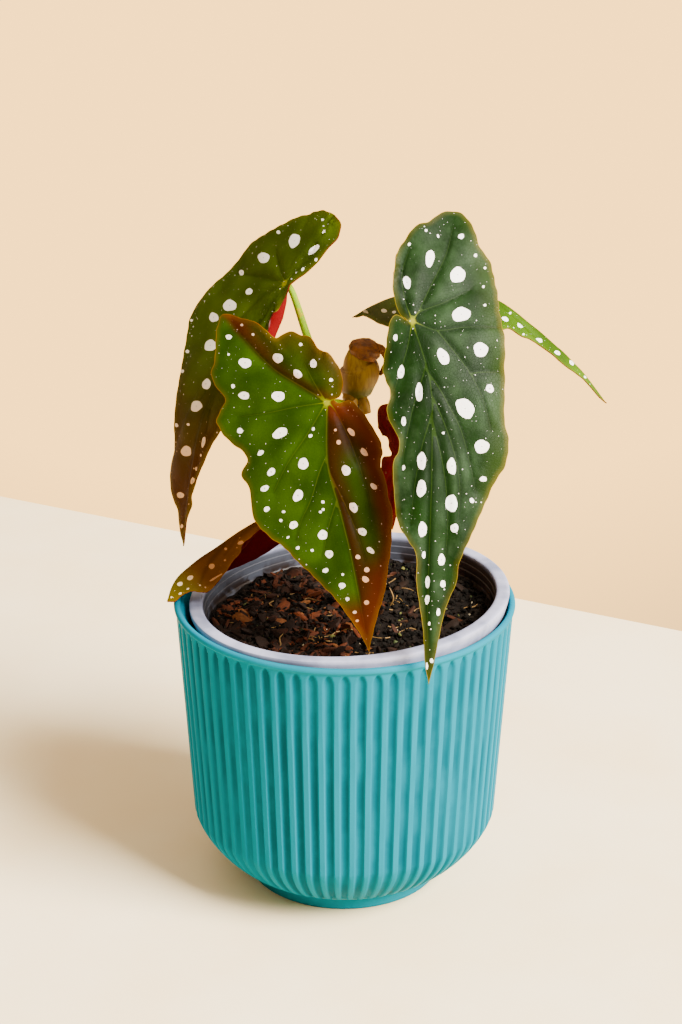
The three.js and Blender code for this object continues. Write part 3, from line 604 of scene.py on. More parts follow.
cut_end = stem("cut_end", [(6.2, 3.4, 191.2, 1.7), (7.1, 2.9, 188.2, 2.1), (7.9, 2.3, 184.8, 1.8)])
knob = stem("cut_knob", [(0.6, 3.2, 193, 1.2), (1.2, 2.8, 191.8, 2.4), (2.2, 2.8, 190, 2.9),
                         (3.4, 3.2, 188.2, 2.2), (4.2, 3.8, 187, 1)])
stub = joined("cut_stub_dry", [cut_end, knob])
stub_skin = Look("stub_skin", 0.55)
stub_tone = stub_skin.mix(stub_skin.cloud(stub_skin.place(), 260, 4), (172, 134, 18), (124, 88, 10))
stub_skin.set(base_color=stub_tone)
finish(stub, stub_skin, "sheath", "cut_stub")

dried = Look("dried_cap", 0.55)
dried_place = dried.place()
dried_tone = dried.patchy((128, 76, 12), (66, 34, 5), 0.35, 0.7, dried_place, 330, 6, 0.7)
dried.set(base_color=dried_tone, specular_ior_level=0.25)
dried.relief(dried.cloud(dried_place, 700, 5), 0.0006, 1.0)
dome = stem("cap_dome", [(6.4, 6, 205.6, 5.3), (7.0, 6, 207.2, 6.1), (7.6, 6, 209, 5.9), (8, 6, 210.6, 4.4),
                         (8.2, 6, 211.9, 1.5)], 12)
hook = stem("cap_hook", [(10.4, 5.6, 209.2, 1.8), (13.2, 5.2, 208.2, 1.5), (14.6, 5, 206, 1.1),
                         (14.9, 5, 203.2, 0.9), (14, 5, 200.6, 1.0), (12.9, 5.2, 198.4, 0.6)])
cap = joined("cap_dried", [dome, hook])
places = corners_of(cap)
for row in places:
    row += 0.35 * np.array(noise.noise_vector(Vector(row) * 0.6))
put_corners(cap, places)
finish(cap, dried, "dried_tip", "bud_cap")

# Leaves: thin waxy blades with a lopsided heart shape and a long drip
# tip, red below, each laid over a midrib that bends in space. Pale spots are
# blisters of air under the skin, and the veins press small furrows from above.


def smooth_line(stops, per=40):
    """A centripetal spline through the stops, as closely spaced points."""
    stops = np.asarray(stops, float)
    ends = np.vstack([2 * stops[0] - stops[1], stops, 2 * stops[-1] - stops[-2]])
    line = []
    for i in range(1, len(ends) - 2):
        p0, p1, p2, p3 = ends[i - 1:i + 3]
        d0, d1, d2 = (max(np.linalg.norm(b - a) ** 0.5, 1e-4) for a, b in ((p0, p1), (p1, p2), (p2, p3)))
        m1 = ((p1 - p0) / d0 - (p2 - p0) / (d0 + d1) + (p2 - p1) / d1) * d1
        m2 = ((p2 - p1) / d1 - (p3 - p1) / (d1 + d2) + (p3 - p2) / d2) * d1
        for t in np.arange(per) / per:
            line.append(p1 + m1 * t + (-3 * p1 + 3 * p2 - 2 * m1 - m2) * t ** 2
                        + (2 * p1 - 2 * p2 + m1 + m2) * t ** 3)
    line.append(stops[-1])
    return np.array(line)


def along_line(line):
    return np.concatenate([[0], np.cumsum(np.linalg.norm(np.diff(line, axis=0), axis=1))])


def respaced(line, gap):
    """The same line with its points a set gap apart."""
    run = along_line(line)
    spots = np.linspace(0, run[-1], max(2, int(round(run[-1] / gap)) + 1))
    return np.stack([np.interp(spots, run, line[:, k]) for k in range(line.shape[1])], 1)


class Blade:
    """The bent surface that a flat blade is laid on."""

    def __init__(self, midrib, facing, facing_tip, fold, curl, arch):
        self.line = smooth_line(midrib)
        self.run = along_line(self.line)
        self.facing = np.array(facing) / np.linalg.norm(facing)
        self.facing_tip = np.array(facing_tip) / np.linalg.norm(facing_tip)
        self.fold, self.curl, self.arch = fold, curl, arch
        start = self.line[1] - self.line[0]
        self.start = start / np.linalg.norm(start)
        side = np.cross(self.facing, self.start)
        self.up = np.cross(self.start, side / np.linalg.norm(side))

    def rib(self, along):
        on = np.stack([np.interp(along, self.run, self.line[:, k]) for k in range(3)], 1)
        end = self.line[-1] - self.line[-2]
        before = np.minimum(along, 0)[:, None]
        after = np.maximum(along - self.run[-1], 0)[:, None]
        beyond = after * end / np.linalg.norm(end)
        return on + before * self.start + beyond - self.arch * before ** 2 * self.up

    def lay(self, flat):
        along, across = flat[:, 0], flat[:, 1]
        ahead = self.rib(along + 2) - self.rib(along - 2)
        ahead /= np.linalg.norm(ahead, axis=1)[:, None]
        share = np.clip(along / self.run[-1], 0, 1)[:, None]
        side = np.cross(self.facing * (1 - share) + self.facing_tip * share, ahead)
        side /= np.linalg.norm(side, axis=1)[:, None]
        up = np.cross(ahead, side)
        fold = np.where(across > 0, self.fold[1], self.fold[0])
        curl = np.maximum(np.where(across > 0, self.curl[1], self.curl[0]), 1e-6)
        reach = np.abs(across)
        out = (np.sin(fold + curl * reach) - np.sin(fold)) / curl
        rise = (np.cos(fold + curl * reach) - np.cos(fold)) / curl
        return self.rib(along) + side * (np.sign(across) * out)[:, None] + up * rise[:, None]

    def normals(self, flat):
        step_a, step_b = np.array([0.5, 0]), np.array([0, 0.5])
        down = self.lay(flat + step_a) - self.lay(flat - step_a)
        over = self.lay(flat + step_b) - self.lay(flat - step_b)
        normal = np.cross(down, over)
        return normal / np.linalg.norm(normal, axis=1)[:, None]


def inside(outline, flat):
    """Which flat points lie within the closed outline."""
    a, b = outline, np.roll(outline, -1, axis=0)
    x, y = flat[:, 0:1], flat[:, 1:2]
    crosses = (a[:, 1] > y) != (b[:, 1] > y)
    with np.errstate(divide="ignore", invalid="ignore"):
        at = (b[:, 0] - a[:, 0]) * (y - a[:, 1]) / (b[:, 1] - a[:, 1]) + a[:, 0]
    return (np.sum(crosses & (x < at), axis=1) % 2) == 1


def line_distance(flat, starts, ends):
    """Each point's distance to each straight piece of a line."""
    way = ends - starts
    length = np.maximum(np.sum(way ** 2, axis=1), 1e-9)
    best = np.empty((len(flat), len(starts)))
    for begin in range(0, len(flat), 2000):
        part = flat[begin:begin + 2000, None, :] - starts[None]
        t = np.clip(np.sum(part * way, axis=2) / length, 0, 1)
        best[begin:begin + 2000] = np.linalg.norm(part - t[..., None] * way, axis=2)
    return best


EDGE_GAP = 0.8
SPOT_SHARE = 0.44
BLADE_THICKNESS = 0.42
PUFF_HEIGHT, PUFF_REACH = 0.75, 2.6


def grow_leaf(node, slot, surface, outline, veins, spots, wave, finishes, bronze, grain=1.15):
    """Cuts the blade's outline, spots and veins into one flat web, and lays it on the bent surface."""
    chance = np.random.default_rng(len(node) * 13 + len(spots))
    outline = np.asarray(outline, float)
    tip = int(np.argmax(outline[:, 0]))
    first = respaced(smooth_line(outline[:tip + 1], 8), EDGE_GAP)
    second = respaced(smooth_line(np.vstack([outline[tip:], outline[:1]]), 8), EDGE_GAP)
    edge = np.vstack([first[:-1], second[:-1]])
    run = np.arange(len(edge)) * EDGE_GAP
    inward = edge / np.maximum(np.linalg.norm(edge, axis=1), 6)[:, None]
    edge = edge + inward * (0.16 * np.sin(run * 1.1) + 0.12 * np.sin(run * 0.47 + 1))[:, None] * np.clip(
        np.linalg.norm(edge, axis=1) / 12, 0, 1)[:, None]
    corners, edges = [edge], [(i, (i + 1) % len(edge)) for i in range(len(edge))]
    held = len(edge)
    rings = []
    for along, across, length, breadth, turn in spots:
        count = 8 if length < 2.5 else 16
        spin = np.arange(count) / count * 2 * math.pi
        wobble = (1 + 0.05 * np.sin(3 * spin + chance.uniform(0, 6))
                  + 0.04 * np.sin(5 * spin + chance.uniform(0, 6)))
        ring = np.stack([np.cos(spin) * length, np.sin(spin) * breadth], 1) * SPOT_SHARE * wobble[:, None]
        lean_by = math.radians(turn)
        spun = np.array([[math.cos(lean_by), -math.sin(lean_by)], [math.sin(lean_by), math.cos(lean_by)]])
        ring = ring @ spun.T + [along, across]
        rings.append(ring)
        corners += [ring, np.array([[along, across]])]
        edges += [(held + i, held + (i + 1) % count) for i in range(count)]
        held += count + 1
    rib_length = surface.run[-1]
    lines = [np.array([[0.0, 0.0], [rib_length - 1, 0.0]])] + [np.asarray(v, float) for v in veins]
    starts, ends, widths = [], [], []
    for rank, vein in enumerate(lines):
        drawn = respaced(smooth_line(vein, 12), 1.0)
        drawn = drawn[inside(edge, drawn)]
        corners.append(drawn)
        edges += [(held + i, held + i + 1) for i in range(len(drawn) - 1)]
        held += len(drawn)
        starts.append(drawn[:-1])
        ends.append(drawn[1:])
        fade = np.linspace(1, 0.25, len(drawn) - 1)
        widths.append((0.85 if rank == 0 else 0.6) * fade)
    starts, ends, widths = np.vstack(starts), np.vstack(ends), np.concatenate(widths)
    fixed = np.vstack(corners)
    low, high = edge.min(0), edge.max(0)
    rows = np.arange(low[1], high[1], grain * 0.866)
    grid = np.array([(x + (grain / 2 if i % 2 else 0), y) for i, y in enumerate(rows)
                     for x in np.arange(low[0], high[0], grain)])
    grid = grid[inside(edge, grid)]
    nearest = np.concatenate([np.min(np.linalg.norm(grid[b:b + 800, None] - fixed[None], axis=2), axis=1)
                              for b in range(0, len(grid), 800)])
    grid = grid[nearest > 0.42 * grain]
    web = np.vstack([fixed, grid])
    flat, _, triangles, *_ = geometry.delaunay_2d_cdt(
        [Vector(p) for p in web], edges, [list(range(len(edge)))], 1, 1e-4)
    flat = np.array([tuple(p) for p in flat])
    triangles = np.array(triangles)
    middles = flat[triangles].mean(axis=1)
    triangles = triangles[inside(edge, middles)]
    middles = flat[triangles].mean(axis=1)
    in_spot = np.zeros(len(triangles), bool)
    for ring in rings:
        in_spot |= inside(ring, middles)
    to_edge = line_distance(flat, edge, np.roll(edge, -1, axis=0)).min(axis=1)
    to_vein = line_distance(flat, starts, ends)
    vein = (to_vein / widths).min(axis=1)
    furrow = to_vein.min(axis=1)
    # the blade puffs up between its veins, and its edge is waved
    height, waves, phase = wave
    turn_of = np.arctan2(flat[:, 1], flat[:, 0])
    order = np.argsort(np.arctan2(outline[:, 1], outline[:, 0]))
    around = np.interp(turn_of, np.arctan2(outline[:, 1], outline[:, 0])[order], np.arange(len(order)),
                       period=2 * math.pi) / len(order)
    far = np.linalg.norm(flat, axis=1)
    share = far / np.maximum(far + to_edge, 1e-6)
    tip_ease = np.clip(np.linalg.norm(flat - outline[tip], axis=1) / 25, 0, 1)
    lift = height * tip_ease * share ** 3 * np.sin(around * waves * 2 * math.pi + phase)
    lift += PUFF_HEIGHT * (1 - np.exp(-furrow / PUFF_REACH)) - 0.4
    raised = np.array([noise.noise(Vector((a * 0.12, b * 0.12, 1.7))) for a, b in flat])
    lift += 0.35 * raised * np.clip(to_edge / 3, 0, 1)
    places = surface.lay(flat) + surface.normals(flat) * lift[:, None]
    mesh = bpy.data.meshes.new(node + "_blade")
    mesh.from_pydata((places * MM).tolist(), [], triangles.tolist())
    piece = bpy.data.objects.new(node + "_blade", mesh)
    bpy.context.collection.objects.link(piece)
    for look in finishes:
        mesh.materials.append(look.material)
    mesh.polygons.foreach_set("material_index", np.where(in_spot, 1, 0).astype(np.int32))
    mark(piece, "margin", to_edge)
    mark(piece, "vein", vein)
    mark(piece, "hub", np.exp(-far / 5))
    # The bronze mark holds real bronze and, on the front and right leaves, painted shade.
    mark(piece, "bronze", bronze(flat))
    eye = np.zeros(len(flat))
    for along, across, length, _, _ in spots:
        if length > 3:
            eye = np.maximum(eye, 1 - np.hypot(flat[:, 0] - along, flat[:, 1] - across) / 1.1)
    mark(piece, "eye", eye)
    uv = mesh.uv_layers.new(name="blade")
    loops = np.empty(len(mesh.loops), np.int32)
    mesh.loops.foreach_get("vertex_index", loops)
    uv.data.foreach_set("uv", ((flat[loops] + [50, 50]) / 100).ravel())
    thick = piece.modifiers.new("thickness", "SOLIDIFY")
    thick.thickness = BLADE_THICKNESS * MM
    thick.offset = 0
    thick.material_offset = 2
    thick.material_offset_rim = 3
    bpy.context.view_layer.objects.active = piece
    bpy.ops.object.modifier_apply(modifier=thick.name)
    finish(piece, None, slot, node, angle=60)


def leaf_looks(name, deep, light, bronze_tone, sheen_share, margin_tone, spot_tone, gloss, shine, speckle=0.35,
               vein_colour=(62, 92, 14), freckles=0.03, bronze_edge=None):
    """The upper skin, its spots, the red underside and the thin coloured margin of one blade."""
    top = Look(name + "_upper", gloss)
    flat = top.node("ShaderNodeUVMap", uv_map="blade")
    cloudy = top.rise(top.cloud(flat, 7, 4, 0.45), 0.15, 0.9)
    tone = top.mix(cloudy, deep, light)
    tone = top.mix(top.attribute("bronze"), tone, bronze_tone)
    fine = top.cells(flat, 90, "Distance", "DISTANCE_TO_EDGE", "2D")
    net = top.rise(fine, 0.09, 0.02)
    vein_line = top.rise(top.attribute("vein"), 0.5, 0.14)
    quilt = top.rise(top.attribute("vein"), 1.2, 8.0)
    # Painted sheen: pale grey-green patches between the veins stand in for the soft gloss of the skin.
    painted_sheen = top.times(top.rise(top.cloud(flat, 9, 5, 0.65), 0.4, 0.68), quilt)
    tone = top.mix(top.times(painted_sheen, sheen_share), tone, (70, 96, 66))
    tone = top.mix(top.times(net, 0.16), tone, (12, 24, 5))
    # Painted shade: the blade is painted darker in the furrows beside its veins.
    furrow = top.times(top.rise(top.attribute("vein"), 4.6, 0.4), 0.5)
    shaded_bronze = [v * 0.5 for v in bronze_tone]
    tone = top.mix(furrow, tone, top.mix(top.attribute("bronze"), deep, shaded_bronze))
    vein_tone = top.mix(top.attribute("bronze"), vein_colour, (76, 52, 10))
    tone = top.mix(top.times(vein_line, 0.4), tone, vein_tone)
    edge_of = top.attribute("margin")
    outer = top.times(top.rise(edge_of, 9, 1.5), top.times(top.attribute("bronze"), 0.6))
    tone = top.mix(outer, tone, bronze_edge or bronze_tone)
    # Painted glow: a band of the margin colour just inside the edge stands in for light shining through the
    # blade.
    backlit_glow = top.plus(top.times(top.attribute("bronze"), 0.22), 0.12)
    tone = top.mix(top.times(top.rise(edge_of, 2.4, 0.3), backlit_glow), tone, margin_tone)
    tone = top.mix(top.rise(edge_of, 0.28, 0.06), tone, margin_tone)
    ray = top.times(vein_line, top.rise(top.attribute("hub"), 0.3, 0.9))
    tone = top.mix(ray, tone, (100, 112, 2))
    tone = top.mix(top.rise(top.attribute("hub"), 0.7, 0.88), tone, (130, 132, 0))
    for grain, chance_of, widest in ((36, 1 - freckles * 1.2, 0.6), (64, 1 - freckles * 0.4, 0.4)):
        cell_chance = top.split(top.cells(flat, grain, "Color", "F1", "2D"), "X")
        bar = top.minus(chance_of, top.times(top.rise(edge_of, 8, 2), speckle))
        reach = top.plus(top.times(top.minus(cell_chance, bar), widest), 0.05)
        dots = top.rise(top.minus(reach, top.cells(flat, grain, "Distance", "F1", "2D")), -0.012, 0.012)
        dots = top.times(dots, top.rise(edge_of, 0.4, 0.8))
        tone = top.mix(dots, tone, top.mix(top.attribute("bronze"), spot_tone[0], spot_tone[1]))
    pores = top.cloud(flat, 420, 2)
    top.set(base_color=tone, specular_ior_level=shine)
    hide = top.plus(top.times(pores, 0.5), top.times(net, -0.4))
    top.relief(hide, 0.00012, 0.55)

    blister = Look(name + "_spots", 0.5)
    flat = blister.node("ShaderNodeUVMap", uv_map="blade")
    white = blister.mix(blister.cloud(flat, 160, 4), spot_tone[0], [v - 22 for v in spot_tone[0]])
    white = blister.mix(blister.attribute("bronze"), white, spot_tone[1])
    white = blister.mix(blister.rise(blister.attribute("eye"), 0.72, 0.9), white, (120, 120, 120))
    blister.set(base_color=white, specular_ior_level=0.25)
    blister.relief(blister.cloud(flat, 380, 2), 0.0001, 0.5)

    under = Look(name + "_under", 0.42)
    flat = under.node("ShaderNodeUVMap", uv_map="blade")
    red = under.mix(under.cloud(flat, 18, 4), (96, 7, 14), (68, 3, 10))
    ridge = under.rise(under.attribute("vein"), 1.6, 0.5)
    red = under.mix(under.times(ridge, 0.6), red, (122, 40, 26))
    red = under.mix(under.rise(under.cells(flat, 90, "Distance", "DISTANCE_TO_EDGE"), 0.08, 0.02), red,
                    (66, 6, 12))
    red = under.mix(under.rise(under.attribute("hub"), 0.5, 0.8), red, (150, 116, 30))
    under.set(base_color=red, specular_ior_level=0.12)
    under.relief(ridge, 0.0006, 0.8)

    rim = Look(name + "_margin", 0.45).set(base_color=margin_tone)
    for look, glow, amount in ((top, light, 0.22), (under, (150, 20, 16), 0.2)):
        through = look.node("ShaderNodeBsdfTranslucent", {"Color": glow})
        both = look.node("ShaderNodeMixShader", {0: amount, 1: look.surface.outputs[0], 2: through})
        look.feed(look.tree.nodes["Material Output"].inputs["Surface"], both)
    return [top, blister, under, under, rim]


def slope(value, low, high):
    """0 at low, 1 at high, and a smooth step between."""
    t = np.clip((value - low) / (high - low), 0, 1)
    return t * t * (3 - 2 * t)


# The tall leaf, right of the middle: dark green with a painted silvery sheen, its drip tip hangs over the
# front rim
grow_leaf(
    "leaf_tall", "leaf_green",
    Blade([(23.5, -19, 226.2), (29.6, -31, 207.2), (30.1, -42, 184.3), (28.7, -61, 135), (29.1, -67, 109.2)],
          (0.08, -1, 0.35), (0.05, -1, 0.3), (0.1, 0.1), (0.006, 0.006), 0.003),
    [(-0.6, -1.6), (-3.4, -3.4), (-8.2, -3.9), (-13.9, -3.1), (-19.1, -1.3), (-25.6, 1.6), (-30.1, 5.8),
     (-34.2, 10.8), (-35.2, 15.8), (-38.4, 21.8), (-38.4, 26.6), (-36.5, 29.5), (-30.9, 31.3), (-22.7, 31.8),
     (-17.2, 33.8), (-9.8, 33.6), (3.9, 31.4), (15.4, 29.6), (22, 27.5), (36, 26.1), (41.8, 27.5),
     (50.9, 26.2), (58, 22.1), (68.8, 17.5), (77.5, 13.6), (85.6, 10.4), (91.8, 9.9), (99.8, 6.7),
     (110.5, 4), (121.5, 1.8), (128, 0), (120.6, -1.2), (108.5, -1.7), (92, -4.2), (82, -4.8),
     (72.9, -10.8), (66.4, -12.3), (50.2, -13.3), (47, -11.7), (41.8, -11.8), (37.8, -14.2), (32.5, -15.9),
     (25, -14.1), (19.8, -14.8), (12.7, -14.7), (3.9, -10.5), (-1.8, -7.6), (-3.9, -5.1)],
    [[(0, 0), (-1.9, 2.1), (-10.7, 9.7), (-21.5, 18.6), (-32.5, 24.8)],
     [(0, 0), (-2.4, 2.7), (-4.1, 12.8), (-7.1, 24.3)],
     [(0, 0), (0.8, 1.3), (5.3, 7.3), (6.9, 17.7), (9.9, 29.6)],
     [(5.3, 7.3), (13.6, 10.8), (21.9, 14.9), (29.3, 18.3), (38.6, 21.1)],
     [(21.6, 14.6), (21.6, 19.4), (22.1, 25.3)],
     [(19, 0), (29.1, 4.9), (39.7, 10.5), (51.2, 13.9), (60.3, 15.9)],
     [(27.2, 0), (37.5, 4.4), (47.9, 8.1), (59.8, 10.1), (70.2, 9.7)],
     [(35.9, 0), (53.1, 4.3), (70.3, 6.2), (84.1, 5.9)],
     [(0, 0), (7.6, -4), (16.3, -9.4), (25.6, -13.7)],
     [(15.7, 0), (28.6, -5.9), (43, -9.1), (53.4, -10.3)],
     [(32.4, 0), (46.4, -3.8), (60.3, -6), (72.4, -6.7)],
     [(0, 0), (-8, -0.4), (-17.3, 1.1), (-26.7, 6.8)]],
    [(-21.2, 12.5, 7.9, 3.5, -25), (-13.1, 20.5, 7.4, 5.9, -50), (-14.2, 2.1, 5.6, 2.9, -5),
     (1.8, 17.5, 7.9, 6.3, -85), (-27.5, 26, 2.6, 2.2, -50), (-31.9, 14.1, 1.2, 1.1, -35),
     (-29.4, 18, 1.8, 0.9, -5), (-28.2, 7, 1.3, 1.2, -50), (-19.5, 29.2, 1.7, 1.4, -40),
     (-14.2, 31.4, 1.3, 1.1, -45), (-7, 28.5, 1.3, 1, -25), (0.1, 26.9, 1.3, 1.2, -40),
     (3.8, -7.3, 2.6, 1.7, -20), (15, 6.5, 6.6, 4.3, 10), (15.3, 20.4, 5.9, 5, 90),
     (16.5, -9.1, 6.1, 2.6, -20), (25.7, -4.2, 8.1, 2.9, -5), (26.2, 21.1, 3.3, 2.6, 80),
     (31.9, 11.6, 8.2, 6.3, 45), (36.4, -10, 3.8, 1.7, 0), (40.3, 3.9, 1.1, 1, -85),
     (44.6, 17.8, 5.9, 5.6, -75), (55.8, 18.5, 2.9, 2, -90), (50.1, -3.6, 7, 3.4, 0),
     (51.8, 6.9, 6.5, 3.4, 5), (52.5, -9.8, 2.3, 1.3, -10), (59.7, -3.5, 6.8, 3.4, -5),
     (64.5, 7.2, 6.7, 4.6, 5), (63.3, 14.5, 2.2, 1.8, 40), (73.8, -2.7, 6, 3.2, 0), (73, 8.5, 3.5, 2.8, 0),
     (82.6, -2, 2.8, 1.3, 0), (84.1, 4.4, 4.7, 2.9, 0), (91.9, -0.3, 4.8, 1.7, 0), (92.5, 5.1, 2.9, 2.2, 5),
     (98, -0.3, 3.8, 1.7, -5), (102.4, 3.6, 3, 1.5, -5), (106.3, 0.5, 1.6, 0.8, -5),
     (119.5, 1.2, 2, 1.4, 5), (121.4, -0.5, 2.8, 0.8, 0)],
    (0.5, 11, 0.3),
    leaf_looks("tall", (6, 26, 2), (17, 46, 5), (34, 54, 3), 0.26, (120, 104, 16),
               ((250, 250, 252), (236, 226, 210)), 0.46, 0.09, 0.05, (46, 72, 16), 0.028),
    lambda flat: 0.6 * slope(
        np.abs(flat[:, 1]) - np.interp(flat[:, 0], [-40, 0, 60, 128], [26, 22, 14, 3]), 0, 9))


def front_bronze_and_fold_shade(flat):
    """Brown beyond the midrib, deepest at the edge, and a band of painted shade along the fold of the upper
    lobe.
    """
    along, across = flat[:, 0], flat[:, 1]
    green_patch = np.exp(-((across - 8.5) / 4.2) ** 2) * slope(along, 12, 28) * slope(-along, -66, -50)
    past_rib = slope(across, -0.3, 0.6) * (0.97 - 0.86 * green_patch) * slope(along, -4, 2)
    drip_tip = 0.95 * slope(along + 0.5 * across, 64, 78)
    fold = np.interp(along, [-40, -34.2, -29.5, -19.8, -12.5, -6.4, 0],
                     [-42, -37.6, -34.4, -26.3, -18.8, -9.7, 0])
    past_fold = across - fold
    # Painted shade: dark brown just past the fold of the upper lobe, fading within 8 mm.
    lobe = 0.85 * slope(past_fold, -3.2, 1.2) * (1 - 0.7 * slope(past_fold, 1.5, 8)) * slope(-along, -3, 6)
    return np.clip(np.maximum(np.maximum(past_rib, drip_tip), lobe), 0, 1)


# The front leaf, left of the middle: green and bronze halves, its tip stands over the soil
grow_leaf(
    "leaf_front", "leaf_olive",
    Blade([(-6.3, -18, 196), (-6, -28, 176.1), (-2, -35, 162.6), (2, -42, 148), (8.6, -49, 113.3)],
          (-0.12, -1, 0.35), (-0.1, -1, 0.3), (0.12, 0.15), (0.007, 0.008), 0.003),
    [(-1, 2.5), (-2, 4.5), (-5.9, 5.7), (-9.3, 5.6), (-14.2, 3.3), (-18.1, 0.1), (-19.4, -3), (-23.3, -5.4),
     (-25.1, -9.4), (-27, -14.1), (-24.8, -18.9), (-28.2, -22.7), (-31.5, -26.5), (-34, -32), (-37.5, -41),
     (-32.5, -43.6), (-25.2, -43.5), (-18.8, -43.6), (-14, -44.8), (-8, -42.6), (-4, -39.4), (-0.4, -40.7),
     (5.4, -42.7), (8.6, -40.8), (12.4, -37.2), (17.7, -29.9), (21, -33.2), (24.7, -30.7), (30.1, -31.7),
     (37.1, -30.2), (45, -24.3), (55.8, -18.4), (69.7, -8.8), (77.9, -4.4), (85, -1.5), (90.8, 0),
     (80.1, 4.4), (71.8, 8.7), (61.7, 12.3), (49.1, 16.4), (43.9, 17.8), (38.5, 17.8), (33.8, 18.6),
     (27, 18.4), (19.6, 19.7), (13.5, 19), (8, 16), (2.8, 12.2), (-0.8, 8.2), (0.2, 4)],
    [[(0, 0), (-1.8, -2.6), (-6.4, -9.7), (-12.5, -18.8), (-19.8, -26.3), (-29.5, -34.4), (-34.2, -37.6)],
     [(0, 0), (1.2, -11.5), (3.1, -22.5), (4.2, -34.1)], [(0, 0), (-2.8, -1.9), (-7.9, -5), (-14.7, -8.4)],
     [(0, 0), (2.1, -1.6), (11.8, -7.5), (20.4, -15), (26.4, -21.7)],
     [(18.7, 0), (29.2, -6.9), (37.7, -14.2), (44.5, -18.8)], [(35, 0), (43.7, -5.7), (53.4, -10.3)],
     [(0, 0), (1.6, 2.1), (7, 5.3), (17.2, 9.7), (31, 11.3), (39.7, 10.8)],
     [(23.3, 0), (35.7, 2.1), (47, 3.8), (58, 4.9)], [(0, 0), (-1.2, 3.2), (2.6, 8.2)]],
    [(-28, -38.3, 3.2, 2.1, 65), (-31.8, -32.8, 1.7, 1.1, 70), (-27.4, -28.1, 1.4, 1.1, 60),
     (-16.7, -31.1, 6.1, 4.1, 65), (-20.9, -37.9, 1.3, 1.1, 55), (-17.3, -18.2, 5, 3.8, 65),
     (-10.8, -10.7, 4.2, 2.9, 45), (-14.2, -4.8, 3.5, 2.9, 10), (-21.5, -9.5, 1.6, 1.4, 60),
     (-8, 1.5, 1.6, 1.5, -85), (-8.3, -35.8, 2, 1.8, 35), (-4.4, -31.5, 5.1, 3.2, 80),
     (-3.1, -18, 5.8, 4.2, 80), (9.4, -32.7, 2.7, 2.1, 80), (10.6, -17.1, 6.7, 3.8, -70),
     (9.4, -4.8, 1.5, 1.3, -30), (11.8, -5.8, 1.8, 1.4, -70), (9.8, 3.1, 1.1, 1.1, -15),
     (14.2, 4.3, 2, 1.8, 0), (10.3, 8.8, 4, 2, 40), (16.4, -24.7, 3, 1.6, -75), (21.6, -21, 3.6, 1.9, -75),
     (25, -24.6, 3.6, 1.5, -85), (30.2, -25.9, 2.7, 1.7, -85), (20.7, -8.7, 4.3, 3.9, -75),
     (29.4, -13.1, 5, 3.4, -60), (34.2, -5, 1.5, 1.3, 65), (36.9, -5.7, 1.3, 1.2, 65),
     (37.5, -6.9, 1.3, 1.1, 70), (32.9, -20, 1.6, 1.1, 70), (36, -22, 1.7, 1.4, 15),
     (39.2, -18, 3.7, 2.9, -70), (45.6, -8.3, 4, 3.9, -50), (42.8, -21.2, 1.5, 0.8, -65),
     (25.5, 6, 4.9, 3.4, 5), (18.3, 13.3, 4.6, 2.3, 25), (34.2, 13.8, 3, 1.9, 35), (39.1, 5, 4.2, 3, 15),
     (48.1, 5.9, 3.7, 2.8, 45), (47.9, -18.5, 1.8, 1.6, -70), (50.3, -13.4, 1.4, 1.3, 30),
     (53.2, -7.6, 3.5, 3.4, 75), (59.1, -10.2, 2.6, 1.9, -75), (61.4, -4.1, 1.2, 1.1, -80),
     (65.4, -5.1, 2.9, 2.4, 90), (70.5, -4.1, 1.8, 1.7, -65), (75.6, -2.4, 1.7, 1.3, 90),
     (78.8, -2.1, 1.3, 1.1, -85), (56.3, 2.3, 2.1, 1.8, 50), (55, 7.2, 3.5, 1.9, 40),
     (61.4, 4.5, 2.3, 2.1, 75), (64.6, 3.4, 3, 2.3, 40), (72.8, 2.3, 2.1, 2, 70)],
    (0.6, 9, 1.2),
    leaf_looks("front", (22, 44, 1), (53, 82, 2), (46, 20, 1), 0.04, (132, 88, 8),
               ((248, 248, 248), (176, 128, 92)), 0.34, 0.025, 0.04, (76, 92, 6), 0.016, (94, 34, 4)),
    front_bronze_and_fold_shade)

